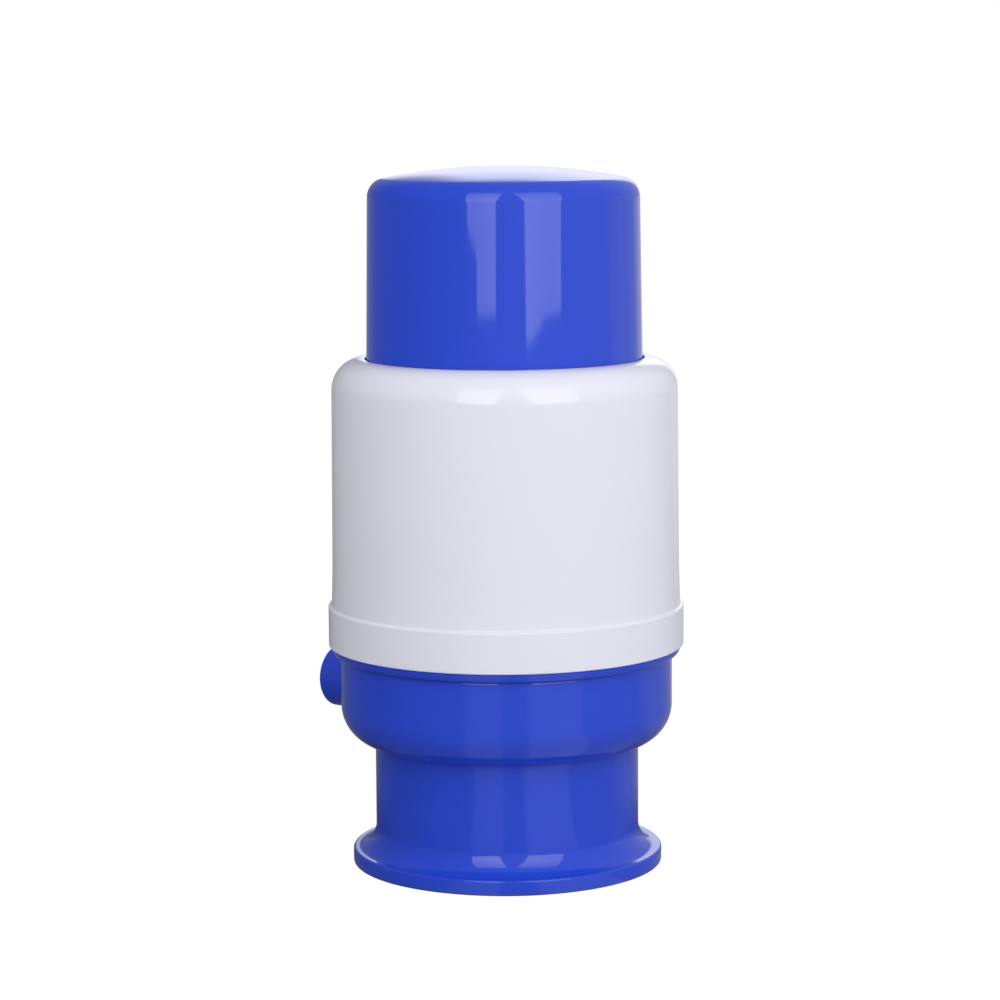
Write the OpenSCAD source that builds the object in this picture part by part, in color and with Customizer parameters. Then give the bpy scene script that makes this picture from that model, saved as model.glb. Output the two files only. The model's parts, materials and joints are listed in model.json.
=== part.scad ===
// Hand pump for a water jug: a press cap squeezes a sprung bellows, the air goes down into the jug
// and the water comes up the dip tube and out of the side spout.
// The origin is on the pump's axis, in the plane of the flange's underside. +Z is up.
// The spout socket points along -X. Lengths are in millimetres.
// The radii build up from the bore for the jug's neck, and the heights from the flange.

/* [Neck grip and gasket] */
// Bore radius that fits round the jug's neck
grip_bore_r = 27.75; // [24:0.05:33]
// Wall of the gripping sleeve
grip_wall = 1.7; // [1.4:0.1:2]
// Room between the sleeve and the skirt, which the ribs bridge
grip_rib_d = 2.35; // [1.9:0.05:3]
// Thickness of a rib
grip_rib_t = 1.4; // [1:0.1:2]
// Height of the snap rim at the grip's foot
grip_rim_h = 6; // [5:0.1:8]
// Height of the solid ring at the grip's foot
grip_ring_h = 9.8; // [8:0.1:11.6]
// Height of the gripping pads at the top of the fingers
grip_pad_h = 6; // [4:0.5:8]
// Depth of the relief between the solid ring and the pads
grip_relief = 0.5; // [0.3:0.1:0.8]
// Number of fingers
grip_fingers = 8; // [6:1:10]
// Width of the slots between the fingers
grip_slot_w = 2; // [1.5:0.1:3]
// Thickness of the neck gasket
gasket_t = 3; // [2:0.1:4]
// Radial width of the neck gasket
gasket_w = 10.1; // [8:0.1:12]

/* [Neck skirt and flange] */
// Wall of the neck skirt
skirt_wall = 2.3; // [1.8:0.1:2.8]
// Height from the flange's underside to the cup's underside
skirt_h = 31.6; // [26:0.1:38]
// Width by which the flange stands out of the skirt
flange_w = 6; // [4.8:0.1:8]
// Thickness of the flange at its edge
flange_t = 4.05; // [3:0.05:6]
// Rounding of the flange's lower and upper edge
flange_edge_r = 0.6; // [0.3:0.1:1.2]
// Radius of the hollow fillet between flange and skirt
flange_fillet_r = 7.5; // [4:0.5:9]

/* [Base cup] */
// Width by which the cup stands out of the skirt
cup_step = 8.75; // [7.2:0.05:10.4]
// Radius of the cup's lower corner
cup_corner_r = 10; // [8:0.5:12]
// Wall of the cup
cup_wall = 3; // [2.4:0.1:3.6]
// Thickness of the cup's floor
floor_t = 2.4; // [1.8:0.1:3]
// Height from the cup's underside to the top of its rim
cup_h = 25.4; // [22:0.1:30]
// Width by which the rim bead stands out under the white band
rim_w = 2.25; // [1.8:0.05:2.7]
// Rounding of the rim bead's lower edge
rim_round_r = 2.3; // [1.6:0.1:2.7]
// Width by which the spigot inside the shell stands out of the cup
spigot_step = 0.35; // [0.25:0.05:0.45]
// Wall of the spigot
spigot_wall = 2.2; // [1.8:0.1:2.6]
// Height of the spigot above the rim
spigot_h = 9; // [7.6:0.1:10.6]
// Wall of the screw bosses in the cup, round their pilot holes
boss_wall = 2.25; // [1.8:0.05:2.6]
// Thickness of the webs that tie the bosses to the cup
web_t = 1.6; // [1.2:0.1:2]

/* [White shell] */
// Wall of the band round the shell's lower edge
band_wall = 2.35; // [1.9:0.05:3]
// Height of the band
band_h = 9.7; // [7:0.1:12]
// Rounding of the band's edges
band_edge_r = 0.5; // [0.3:0.1:0.7]
// Step from the band in to the shell
band_step = 0.9; // [0.7:0.05:1.2]
// Amount by which the shell's radius gets smaller up to the shoulder
shell_taper = 0.65; // [0.4:0.05:0.8]
// Wall of the shell
shell_wall = 2.3; // [1.9:0.1:2.8]
// Radius of the shoulder's rounding
shoulder_r = 8; // [6.5:0.5:9.5]
// Length of the guide collar in the shell's mouth
collar_h = 7.2; // [6:0.1:9]
// Wall of the guide collar
collar_wall = 2.2; // [1.6:0.1:2.6]

/* [Press cap] */
// Full travel of the cap
stroke = 40; // [32:0.5:47]
// Height of the cap's edge above the shell's shoulder when it is pressed home
pressed_rise = 5.9; // [4:0.1:10]
// Clearance between the cap's lip and the shell
lip_gap = 0.4; // [0.3:0.05:0.5]
// Width by which the lip stands out of the cap
lip_w = 6.15; // [5.1:0.05:7.2]
// Thickness of the lip
lip_t = 3; // [2:0.1:3.5]
// Amount by which the cap's radius gets smaller up to its top edge
cap_taper = 0.7; // [0.4:0.05:1]
// Wall of the cap
cap_wall = 2.3; // [1.9:0.1:2.7]
// Rounding of the cap's top edge
cap_corner_r = 5; // [4:0.5:6]
// Rise of the domed top above its edge
crown_h = 2.8; // [1.5:0.1:4]
// Number of screw posts inside the cap
post_count = 4; // [3:1:6]
// Distance from the cap's inner wall to the middle of a post
post_inset = 5.15; // [4.2:0.05:6.1]
// Wall of a post round its pilot hole
post_wall = 2.05; // [1.7:0.05:2.4]
// Thickness of the rib that ties a post to the wall
post_rib_t = 1.8; // [1.2:0.1:2.4]
// Height of the posts' feet above the underside of the cap's lip
post_lift = 0.4; // [0.2:0.1:0.8]
// Height of an air vent in the cap's skirt
vent_h = 3; // [2:0.1:4]
// Width of an air vent
vent_w = 8; // [5:0.5:12]

/* [Bellows] */
// Height of the bellows when the cap is pressed home
folded_h = 20.2; // [18:0.1:24]
// Number of folds
folds = 7; // [5:1:8]
// Clearance between the folds and the shell
fold_gap = 0.6; // [0.5:0.05:0.9]
// Depth of the folds
fold_depth = 5; // [4.2:0.1:5.8]
// Width of the flat on a crest
fold_flat = 1.6; // [1.4:0.1:1.8]
// Wall of the bellows
bellows_wall = 1; // [0.8:0.05:1.15]
// Clearance between the lower neck and the spigot
neck_gap = 1; // [0.8:0.05:1.2]
// Height of the straight neck under the cap's lip
bellows_neck_h = 4.8; // [4.6:0.1:5.6]
// Thickness of the two clamped lips
bellows_lip_t = 2; // [1.6:0.1:2.4]
// Width of the clamped lips
bellows_lip_w = 5.5; // [4.6:0.1:6.4]

/* [Clamped plates] */
// Thickness of the valve plate's rim
valve_plate_t = 3.8; // [3.4:0.1:4.4]
// Thickness of both plates at their valve seat
seat_t = 2.6; // [2.2:0.1:3]
// Thickness of the clamp ring over the bellows' lip
clamp_t = 2; // [1.6:0.1:2.6]
// Number of clamp screws
clamp_screws = 6; // [4:2:6]
// Distance from the bellows' lip in to the middle of a clamp screw
clamp_inset = 4; // [3.8:0.1:4.8]
// Distance from the screw bosses in to the recess under the valve plate
recess_inset = 1; // [0.5:0.1:2]
// Thickness of the ribs under the valve plate
plate_rib_t = 1.6; // [1.2:0.1:2]

/* [Valves] */
// Radius of the stem
stem_r = 1.6; // [1.3:0.1:1.9]
// Clearance round the stem in its hole
stem_gap = 0.4; // [0.3:0.05:0.5]
// Width by which the bulb at the stem's end stands out of the stem
bulb_w = 1; // [0.8:0.05:1.2]
// Height of the bulb
bulb_h = 2.4; // [2:0.1:3]
// Number of air holes under a disc
seat_holes = 6; // [5:1:7]
// Radius of an air hole under a disc
seat_hole_r = 1.7; // [1.4:0.1:2]
// Web between the stem's hole and the air holes
seat_web = 2; // [1.6:0.1:2.6]
// Width by which the disc laps over the air holes
seat_lap = 1.2; // [1:0.1:1.6]
// Thickness of the disc at its rim
disc_rim_t = 0.7; // [0.5:0.1:0.9]
// Thickness of the disc in its middle
disc_mid_t = 1.8; // [1.4:0.1:2.2]
// Lift of the disc off its seat
valve_lift = 1.2; // [0.8:0.1:1.4]

/* [Return spring] */
// Radius of the wire
wire_r = 0.9; // [0.7:0.05:1.05]
// Number of turns
turns = 7; // [6:1:8]
// Number of close turns at each end
end_turns = 1; // [1:1:2]
// Room between a valve's disc and the guide ring round it
guide_room = 2.1; // [1.6:0.1:3]
// Height of the guide rings inside the coil
guide_h = 4; // [3:0.1:5]
// Wall of the guide rings
guide_wall = 1.8; // [1.4:0.1:2.2]

/* [Water way] */
// Height of the spout socket's axis above the cup's underside
socket_rise = 10.62; // [9:0.02:12.4]
// Length by which the socket stands out of the cup
socket_len = 14.65; // [10:0.05:20]
// Bore radius of the socket
socket_bore_r = 6.15; // [5.2:0.05:6.6]
// Wall of the socket
socket_wall = 2.16; // [1.86:0.02:2.5]
// Depth of the socket's bore
socket_depth = 21; // [17.5:0.5:24.5]
// Rounding of the socket's outer edge
socket_edge_r = 0.5; // [0.3:0.1:0.8]
// Bore radius of the water duct behind the socket
duct_bore_r = 4.4; // [3.8:0.1:5]
// Wall of the water duct
duct_wall = 2.4; // [2:0.1:2.8]
// Width by which the hub over the nipple stands out of the duct
hub_w = 1; // [0.8:0.1:2]
// Bore radius of the dip tube's nipple
nipple_bore_r = 3.3; // [2.8:0.1:3.8]
// Wall of the nipple
nipple_wall = 1.45; // [1.2:0.05:1.8]
// Height of the nipple's tip above the grip's solid ring
nipple_rise = 2; // [1.6:0.1:4]
// Width of the stop collar over the nipple
nipple_collar_w = 2.25; // [1.6:0.05:3]
// Height of the stop collar
nipple_collar_h = 3; // [2:0.1:4]
// Number of air holes in the cup's floor
air_holes = 5; // [3:1:6]
// Radius of an air hole in the cup's floor
air_hole_r = 2; // [1.5:0.1:2.4]
// Web between the hub and the air holes
air_web = 4.2; // [3:0.1:5]

/* [Screws and seals] */
// Radius of a screw's shank
shank_r = 1.25; // [1.1:0.05:1.45]
// Width by which a screw's head stands out of its shank
head_w = 1.45; // [1.2:0.05:1.7]
// Height of a screw's head
head_h = 1.6; // [1.3:0.1:1.9]
// Length of thread in a boss or post
thread_h = 9; // [7:0.5:10.5]
// Section radius of the spout's sealing ring
spout_seal_r = 0.8; // [0.7:0.05:0.85]
// Section radius of the valve plate's sealing ring
plate_seal_r = 0.9; // [0.75:0.05:1.05]

/* [Clearances] */
// Radial clearance between sliding faces
slide_gap = 0.3; // [0.25:0.05:0.35]
// Clearance between faces that are seated or pressed together
seat_gap = 0.1; // [0.05:0.05:0.15]
// Gap left open between the rim and the white band
band_gap = 0.2; // [0.1:0.1:0.4]
// Height of the grip's foot above the flange's underside
foot_gap = 0.2; // [0.1:0.1:0.4]

/* [Hidden] */
$fn = 96;

BLUE = [0.2, 0.31, 0.83];
WHITE = [0.93, 0.93, 0.96];
NATURAL = [0.86, 0.87, 0.86];
RUBBER = [0.72, 0.74, 0.76];
STEEL = [0.74, 0.75, 0.77];

// Length by which a cut runs past the face that it opens
overrun = 1;
// Steps in a drawn arc
arc_steps = 9;
// Half height of the snap beads
snap_half = 0.8;
// Height of a snap bead above the face that it stands on
snap_rise = 0.5;
// Chamfer on plain turned edges
chamfer = 0.4;
// Angle over which the air holes in the cup's floor are spread, clear of the duct
air_hole_span = 240;

// Radii from the jug's neck out to the shell
grip_sleeve_r = grip_bore_r + grip_wall;
skirt_in_r = grip_sleeve_r + grip_rib_d;
skirt_r = skirt_in_r + skirt_wall;
flange_r = skirt_r + flange_w;
cup_r = skirt_r + cup_step;
cup_in_r = cup_r - cup_wall;
rim_r = cup_r + rim_w;
spigot_r = cup_r + spigot_step;
spigot_in_r = spigot_r - spigot_wall;
band_in_r = spigot_r + slide_gap;
band_r = band_in_r + band_wall;
shell_low_r = band_r - band_step;
shell_top_r = shell_low_r - shell_taper;
shell_in_r = shell_top_r - shell_wall;

// Radii from the shell in to the cap and its posts
lip_r = shell_in_r - lip_gap;
cap_low_r = lip_r - lip_w;
cap_top_r = cap_low_r - cap_taper;
cap_in_r = cap_low_r - cap_wall;
mouth_r = cap_low_r + slide_gap;

// Radii of the screws, their holes and their bosses
head_r = shank_r + head_w;
screw_hole_r = shank_r + slide_gap;
pilot_r = shank_r + seat_gap;
boss_r = pilot_r + boss_wall;
post_r = pilot_r + post_wall;
post_circle_r = cap_in_r - post_inset;

// Radii of the bellows and of what clamps it
fold_r = shell_in_r - fold_gap;
root_r = fold_r - fold_depth;
bellows_neck_r = spigot_in_r - neck_gap;
bellows_lip_r = bellows_neck_r - bellows_lip_w;
clamp_circle_r = bellows_lip_r - clamp_inset;
clamp_in_r = clamp_circle_r - boss_r;
clamp_r = bellows_neck_r - bellows_wall - slide_gap;
plate_recess_r = clamp_in_r - recess_inset;
valve_plate_r = spigot_in_r - slide_gap;
plate_groove_r = spigot_in_r - 2 * plate_seal_r - seat_gap;

// Radii from the valves' stems out to the spring
stem_hole_r = stem_r + stem_gap;
bulb_r = stem_r + bulb_w;
seat_circle_r = stem_hole_r + seat_web + seat_hole_r;
disc_r = seat_circle_r + seat_hole_r + seat_lap;
guide_in_r = disc_r + guide_room;
guide_r = guide_in_r + guide_wall;
coil_r = guide_r + 2 * slide_gap + wire_r;

// Sizes of the water way
socket_reach = cup_r + socket_len;
socket_r = socket_bore_r + socket_wall;
duct_r = duct_bore_r + duct_wall;
hub_r = duct_r + hub_w;
nipple_r = nipple_bore_r + nipple_wall;
nipple_collar_r = nipple_r + nipple_collar_w;
air_circle_r = hub_r + air_web + air_hole_r;
gasket_r = skirt_in_r - slide_gap;
gasket_in_r = gasket_r - gasket_w;

// Heights up the pump, from the flange to the cap
z_grip = foot_gap;
z_grip_rim = z_grip + grip_rim_h;
z_grip_snap = z_grip + grip_rim_h / 2;
z_grip_ring = z_grip + grip_ring_h;
z_nipple = z_grip_ring + nipple_rise;
z_floor = skirt_h;
z_gasket = z_floor - gasket_t;
z_grip_top = z_gasket - foot_gap;
z_cup_floor = z_floor + floor_t;
z_socket = z_floor + socket_rise;
z_rim = z_floor + cup_h;
z_ledge = z_rim - band_gap;
z_plate_top = z_ledge + valve_plate_t;
z_plate_seal = (z_ledge + z_plate_top) / 2;
z_outlet = z_plate_top - seat_t;
z_clamp = z_plate_top + bellows_lip_t;
z_clamp_top = z_clamp + clamp_t;
z_spigot = z_rim + spigot_h;
z_snap = z_rim + spigot_h / 2;
z_band = z_rim + band_gap;
z_band_top = z_band + band_h;
z_lip = z_plate_top + folded_h + stroke;
z_press_top = z_lip - bellows_lip_t;
z_press = z_press_top - seat_t;
z_post = z_lip + post_lift;
z_lip_top = z_lip + lip_t;
z_collar = z_lip_top + slide_gap;
z_shoulder = z_collar + collar_h;
z_cap_edge = z_shoulder + pressed_rise + stroke;
z_cap_corner = z_cap_edge - cap_corner_r;
z_crown = z_cap_edge + crown_h;

// Points on an arc round [cx, cy] from angle a0 to a1
function arc(cx, cy, r, a0, a1, steps = arc_steps) =
    [for (i = [0:steps]) let (a = a0 + (a1 - a0) * i / steps) [cx + r * cos(a), cy + r * sin(a)]];

// A ridge or groove of the given rise on a line of radius r, from below or from above
function snap(r, z, rise, half, up = 1) =
    [[r, z - up * half], [r + rise, z], [r, z + up * half]];

// Copies the children n times round the axis
module ring(n, start = 0) {
    for (i = [0:n - 1]) rotate(start + i * 360 / n) children();
}

// Solid turned from its half section
module turned(points) {
    rotate_extrude() polygon(points);
}

// Solid turned round the X axis, its half section drawn from the pump's axis towards -X
module turned_socket(points) {
    translate([0, 0, z_socket]) rotate([0, -90, 0]) rotate_extrude() polygon(points);
}

// Base housing

// Half section of the flange, skirt, cup and spigot
function base_section() =
    let (fillet_x = skirt_r + flange_fillet_r)
    let (fillet_run = max(0, fillet_x - (flange_r - flange_edge_r)))
    let (fillet_a = acos(fillet_run / flange_fillet_r))
    let (fillet_z = flange_t + flange_fillet_r * sin(fillet_a))
    let (corner_x = cup_r - cup_corner_r)
    let (corner_a = acos(max(0, skirt_r - corner_x) / cup_corner_r))
    let (round_x = rim_r - rim_round_r)
    let (round_a = acos(max(0, cup_r - round_x) / rim_round_r))
    let (inner_corner_r = cup_corner_r - cup_wall)
    concat(
        arc(flange_r - flange_edge_r, flange_edge_r, flange_edge_r, -90, 0),
        arc(flange_r - flange_edge_r, flange_t - flange_edge_r, flange_edge_r, 0, 90),
        arc(fillet_x, fillet_z, flange_fillet_r, 180 + fillet_a, 180),
        [[skirt_r, z_floor + cup_corner_r * (1 - sin(corner_a))]],
        arc(corner_x, z_floor + cup_corner_r, cup_corner_r, -corner_a, 0),
        arc(round_x, z_rim - band_gap, rim_round_r, -round_a, 0),
        [[rim_r - band_gap, z_rim], [spigot_r, z_rim]],
        snap(spigot_r, z_snap, snap_rise, snap_half),
        [[spigot_r, z_spigot - chamfer], [spigot_r - chamfer, z_spigot]],
        [[spigot_in_r, z_spigot], [spigot_in_r, z_ledge], [cup_in_r, z_ledge]],
        arc(cup_in_r - inner_corner_r, z_cup_floor + inner_corner_r, inner_corner_r, 0, -90),
        [[0, z_cup_floor], [0, z_floor], [skirt_in_r, z_floor]],
        snap(skirt_in_r, z_grip_snap, snap_rise, snap_half, -1),
        [[skirt_in_r, 0]]
    );

// Half section of the socket tube, from the pump's axis to its mouth
function socket_section() =
    let (step = socket_reach - socket_depth - duct_wall)
    concat(
        [[0, 0], [duct_r, 0], [duct_r, step], [socket_r, step]],
        arc(socket_r - socket_edge_r, socket_reach - socket_edge_r, socket_edge_r, 0, 90),
        [[0, socket_reach]]
    );

// Half section of everything bored out along the socket's axis
function socket_bore_section() =
    let (seat = socket_reach - socket_depth)
    let (groove_r = socket_bore_r + 2 * spout_seal_r + seat_gap)
    let (groove = socket_reach - socket_depth / 2)
    let (half = spout_seal_r + seat_gap)
    [
        [0, -duct_bore_r / 2], [duct_bore_r, -duct_bore_r / 2], [duct_bore_r, seat],
        [socket_bore_r, seat], [socket_bore_r, groove - half], [groove_r, groove - half],
        [groove_r, groove + half], [socket_bore_r, groove + half],
        [socket_bore_r, socket_reach + overrun], [0, socket_reach + overrun]
    ];

// Half section of the nipple under the floor, with its stop collar
function nipple_section() =
    [
        [0, z_floor + floor_t / 2], [nipple_collar_r, z_floor + floor_t / 2],
        [nipple_collar_r, z_floor - nipple_collar_h], [nipple_r, z_floor - nipple_collar_h],
        [nipple_r, z_nipple + chamfer], [nipple_r - chamfer, z_nipple], [0, z_nipple]
    ];

// Post for one clamp screw, tied to the cup's wall by a web that ends in the middle of the wall
module screw_boss() {
    web_z = z_cup_floor - floor_t / 2;
    web_top = z_socket + socket_r;
    translate([clamp_circle_r, 0, web_z]) cylinder(r = boss_r, h = z_ledge - web_z);
    rotate([90, 0, 0]) linear_extrude(height = web_t, center = true) polygon(concat(
        [[clamp_circle_r, web_top], [clamp_circle_r, web_z]],
        arc(cup_r - cup_corner_r, z_floor + cup_corner_r, cup_corner_r - cup_wall / 2, -90, 0),
        [[cup_r - cup_wall / 2, web_top]]
    ));
}

module base_housing() {
    air_hole_step = air_hole_span / (air_holes - 1);
    saddle_reach = cup_r - cup_corner_r;
    color(BLUE) difference() {
        union() {
            turned(base_section());
            turned_socket(socket_section());
            translate([0, 0, z_cup_floor - floor_t / 2])
                cylinder(r = hub_r, h = socket_rise - floor_t / 2 + hub_r);
            translate([-saddle_reach, -duct_r / 2, z_cup_floor - floor_t / 2])
                cube([saddle_reach, duct_r, socket_rise - floor_t / 2]);
            turned(nipple_section());
            ring(clamp_screws, 180 / clamp_screws) screw_boss();
        }
        turned_socket(socket_bore_section());
        translate([0, 0, z_nipple - overrun]) cylinder(r = nipple_bore_r, h = z_socket - z_nipple + overrun);
        for (i = [0:air_holes - 1]) rotate((i - (air_holes - 1) / 2) * air_hole_step)
            translate([air_circle_r, 0, z_floor - overrun])
                cylinder(r = air_hole_r, h = floor_t + 2 * overrun);
        ring(clamp_screws, 180 / clamp_screws)
            translate([clamp_circle_r, 0, z_ledge - thread_h - overrun])
                cylinder(r = pilot_r, h = thread_h + 2 * overrun);
    }
}

// Neck grip and seals

// Half section of the foot ring and the sleeve, with a relief between its two gripping lands
function grip_section() =
    let (outer = skirt_in_r - seat_gap)
    let (relief_r = grip_bore_r + grip_relief)
    let (z_pad = z_grip_top - grip_pad_h)
    concat(
        [[grip_bore_r + chamfer, z_grip], [outer - chamfer, z_grip], [outer, z_grip + chamfer]],
        snap(outer, z_grip_snap, snap_rise, snap_half - seat_gap),
        [[outer, z_grip_rim], [grip_sleeve_r, z_grip_rim], [grip_sleeve_r, z_grip_top]],
        [[grip_bore_r + chamfer, z_grip_top], [grip_bore_r, z_grip_top - chamfer]],
        [[grip_bore_r, z_pad], [relief_r, z_pad - grip_relief]],
        [[relief_r, z_grip_ring + grip_relief], [grip_bore_r, z_grip_ring]],
        [[grip_bore_r, z_grip + chamfer]]
    );

module neck_grip() {
    rib_x = grip_sleeve_r - seat_gap;
    slot_z = z_grip_ring + 2 * grip_relief;
    color(NATURAL) difference() {
        union() {
            turned(grip_section());
            intersection() {
                ring(2 * grip_fingers, 90 / grip_fingers)
                    translate([rib_x, -grip_rib_t / 2, z_grip_snap])
                        cube([skirt_in_r, grip_rib_t, z_grip_top - z_grip_snap - chamfer]);
                translate([0, 0, z_grip]) cylinder(r = skirt_in_r - seat_gap, h = z_grip_top - z_grip);
            }
        }
        ring(grip_fingers) translate([grip_bore_r - overrun, -grip_slot_w / 2, slot_z])
            cube([skirt_r, grip_slot_w, z_grip_top - slot_z + overrun]);
    }
}

// Flat ring with two raised lines that press on the jug's mouth
module neck_gasket() {
    mid = (gasket_in_r + gasket_r) / 2;
    line = gasket_w / 4;
    low = z_gasket + snap_rise;
    color(RUBBER) turned(concat(
        [[gasket_in_r, z_floor], [gasket_in_r, low], [mid - 2 * snap_half - line / 2, low]],
        [[mid - snap_half - line / 2, z_gasket], [mid - line / 2, low], [mid + line / 2, low]],
        [[mid + snap_half + line / 2, z_gasket], [mid + 2 * snap_half + line / 2, low]],
        [[gasket_r, low], [gasket_r, z_floor]]
    ));
}

module spout_seal() {
    ring_x = socket_reach - socket_depth / 2;
    color(RUBBER) translate([-ring_x, 0, z_socket]) rotate([0, -90, 0])
        rotate_extrude() translate([socket_bore_r + spout_seal_r + seat_gap / 2, 0])
            circle(r = spout_seal_r);
}

// Valve plate, clamp ring and bellows

// Holes of one umbrella valve: the stem's hole and the ring of air holes
module seat_cut(z) {
    translate([0, 0, z - overrun]) cylinder(r = stem_hole_r, h = seat_t + 2 * overrun);
    ring(seat_holes) translate([seat_circle_r, 0, z - overrun])
        cylinder(r = seat_hole_r, h = seat_t + 2 * overrun);
}

module valve_plate() {
    groove_low = z_plate_seal - plate_seal_r - seat_gap;
    groove_high = z_plate_seal + plate_seal_r + seat_gap;
    color(WHITE) difference() {
        union() {
            turned([
                [0, z_outlet], [plate_recess_r, z_outlet],
                [plate_recess_r, z_ledge], [valve_plate_r - chamfer, z_ledge],
                [valve_plate_r, z_ledge + chamfer], [valve_plate_r, groove_low],
                [plate_groove_r, groove_low], [plate_groove_r, groove_high],
                [valve_plate_r, groove_high], [valve_plate_r, z_plate_top],
                [guide_r, z_plate_top], [guide_r, z_plate_top + guide_h - chamfer],
                [guide_r - chamfer, z_plate_top + guide_h],
                [guide_in_r, z_plate_top + guide_h], [guide_in_r, z_plate_top],
                [0, z_plate_top]
            ]);
            ring(clamp_screws) translate([guide_r, -plate_rib_t / 2, z_ledge])
                cube([plate_recess_r + plate_rib_t - guide_r, plate_rib_t, valve_plate_t - seat_t / 2]);
        }
        seat_cut(z_outlet);
        ring(clamp_screws, 180 / clamp_screws) translate([clamp_circle_r, 0, z_ledge - overrun])
            cylinder(r = screw_hole_r, h = valve_plate_t + 2 * overrun);
    }
}

module plate_seal() {
    color(RUBBER) translate([0, 0, z_plate_seal])
        rotate_extrude() translate([plate_groove_r + seat_gap / 2 + plate_seal_r, 0])
            circle(r = plate_seal_r);
}

module clamp_ring() {
    step_r = bellows_lip_r - slide_gap;
    color(WHITE) difference() {
        turned([
            [clamp_in_r, z_plate_top], [step_r, z_plate_top], [step_r, z_clamp],
            [clamp_r, z_clamp], [clamp_r, z_clamp_top - chamfer],
            [clamp_r - chamfer, z_clamp_top], [clamp_in_r + chamfer, z_clamp_top],
            [clamp_in_r, z_clamp_top - chamfer]
        ]);
        ring(clamp_screws, 180 / clamp_screws) translate([clamp_circle_r, 0, z_plate_top - overrun])
            cylinder(r = screw_hole_r, h = bellows_lip_t + clamp_t + 2 * overrun);
    }
}

// Pan-head screw whose head rests on the plane z = 0, its shank pointing down
module screw(shank_h) {
    turned([
        [0, -shank_h], [shank_r - chamfer, -shank_h], [shank_r, -shank_h + 2 * chamfer],
        [shank_r, 0], [head_r, 0], [head_r, head_h - 2 * chamfer],
        [head_r - chamfer, head_h - chamfer], [head_r / 2, head_h], [0, head_h]
    ]);
}

module clamp_ring_screws() {
    color(STEEL) ring(clamp_screws, 180 / clamp_screws)
        translate([clamp_circle_r, 0, z_clamp_top])
            screw(z_clamp_top - z_ledge + thread_h - seat_gap);
}

// The line of the folds between the two necks. Set in by inset, it stays parallel to itself: its crests
// get narrower and its roots wider.
function fold_line(z0, z1, inset) =
    let (pitch = (z1 - z0) / folds)
    let (slope = atan2(pitch / 2 - fold_flat, fold_r - root_r))
    let (change = inset * tan(45 - slope / 2))
    let (crest = fold_flat / 2 - change)
    let (root = fold_flat / 2 + change)
    [for (i = [0:folds - 1]) let (z = z0 + (i + 0.5) * pitch)
        each concat(
            [[fold_r - inset, z - crest], [fold_r - inset, z + crest]],
            i == folds - 1 ? [] : [
                [root_r - inset, z + pitch / 2 - root], [root_r - inset, z + pitch / 2 + root]
            ]
        )];

function reversed(points) = [for (i = [len(points) - 1:-1:0]) points[i]];

module bellows() {
    low = z_plate_top;
    high = z_lip;
    neck_in_r = bellows_neck_r - bellows_wall;
    z0 = z_spigot - 2 * slide_gap;
    z1 = high - bellows_neck_h;
    color(RUBBER) turned(concat(
        [[bellows_lip_r, low], [bellows_neck_r, low], [bellows_neck_r, z0]],
        fold_line(z0, z1, 0),
        [[bellows_neck_r, z1], [bellows_neck_r, high], [bellows_lip_r, high]],
        [[bellows_lip_r, high - bellows_lip_t], [neck_in_r, high - bellows_lip_t], [neck_in_r, z1]],
        reversed(fold_line(z0, z1, bellows_wall)),
        [[neck_in_r, z0], [neck_in_r, low + bellows_lip_t], [bellows_lip_r, low + bellows_lip_t]]
    ));
}

// Return spring

// Rings and sides of the wire's tube
coil_rings = 16;
wire_sides = 8;

// Pitch of the close end turns, and of the open turns between them
end_pitch = 2 * wire_r + 2 * slide_gap;
spring_low = z_plate_top + wire_r + seat_gap;
spring_high = z_press - wire_r - seat_gap;
open_pitch = (spring_high - spring_low - 2 * end_turns * end_pitch) / (turns - 2 * end_turns);

// Height of the wire's centre after t turns
function spring_z(t) =
    spring_low
    + min(t, end_turns) * end_pitch
    + max(0, min(t, turns - end_turns) - end_turns) * open_pitch
    + max(0, t - turns + end_turns) * end_pitch;

function spring_point(t) = [coil_r * cos(360 * t), coil_r * sin(360 * t), spring_z(t)];

// One ring of points round the wire
function wire_ring(t) =
    let (c = spring_point(t))
    let (out = [cos(360 * t), sin(360 * t), 0])
    [for (k = [0:wire_sides - 1]) let (a = 360 * k / wire_sides)
        c + wire_r * (cos(a) * out + sin(a) * [0, 0, 1])];

module return_spring() {
    steps = turns * coil_rings;
    points = [for (i = [0:steps]) each wire_ring(i / coil_rings)];
    walls = [for (i = [0:steps - 1]) for (k = [0:wire_sides - 1])
        let (a = i * wire_sides + k, b = i * wire_sides + (k + 1) % wire_sides)
        each [[a, b, b + wire_sides], [a, b + wire_sides, a + wire_sides]]];
    first = [for (k = [1:wire_sides - 2]) [0, k + 1, k]];
    top = steps * wire_sides;
    last = [for (k = [1:wire_sides - 2]) [top, top + k, top + k + 1]];
    echo(least_coil_gap = min([for (i = [0:steps - coil_rings])
        norm(spring_point((i + coil_rings) / coil_rings) - spring_point(i / coil_rings))]) - 2 * wire_r);
    color(STEEL) polyhedron(points = points, faces = reversed(concat(walls, first, last)));
}

// Valves

// Umbrella valve whose disc closes the seat plane z from below, its stem running up through the plate
module umbrella(z) {
    face = z - seat_gap;
    neck = z + seat_t + valve_lift + seat_gap;
    color(RUBBER) turned([
        [0, face - disc_mid_t], [disc_r / 2, face - disc_mid_t + chamfer / 2],
        [disc_r, face - disc_rim_t], [disc_r, face], [stem_r, face], [stem_r, neck],
        [bulb_r, neck], [bulb_r, neck + chamfer], [stem_r, neck + bulb_h], [0, neck + bulb_h]
    ]);
}

module outlet_valve() {
    umbrella(z_outlet);
}

module intake_valve() {
    umbrella(z_press);
}

// Press plate and cap

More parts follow.
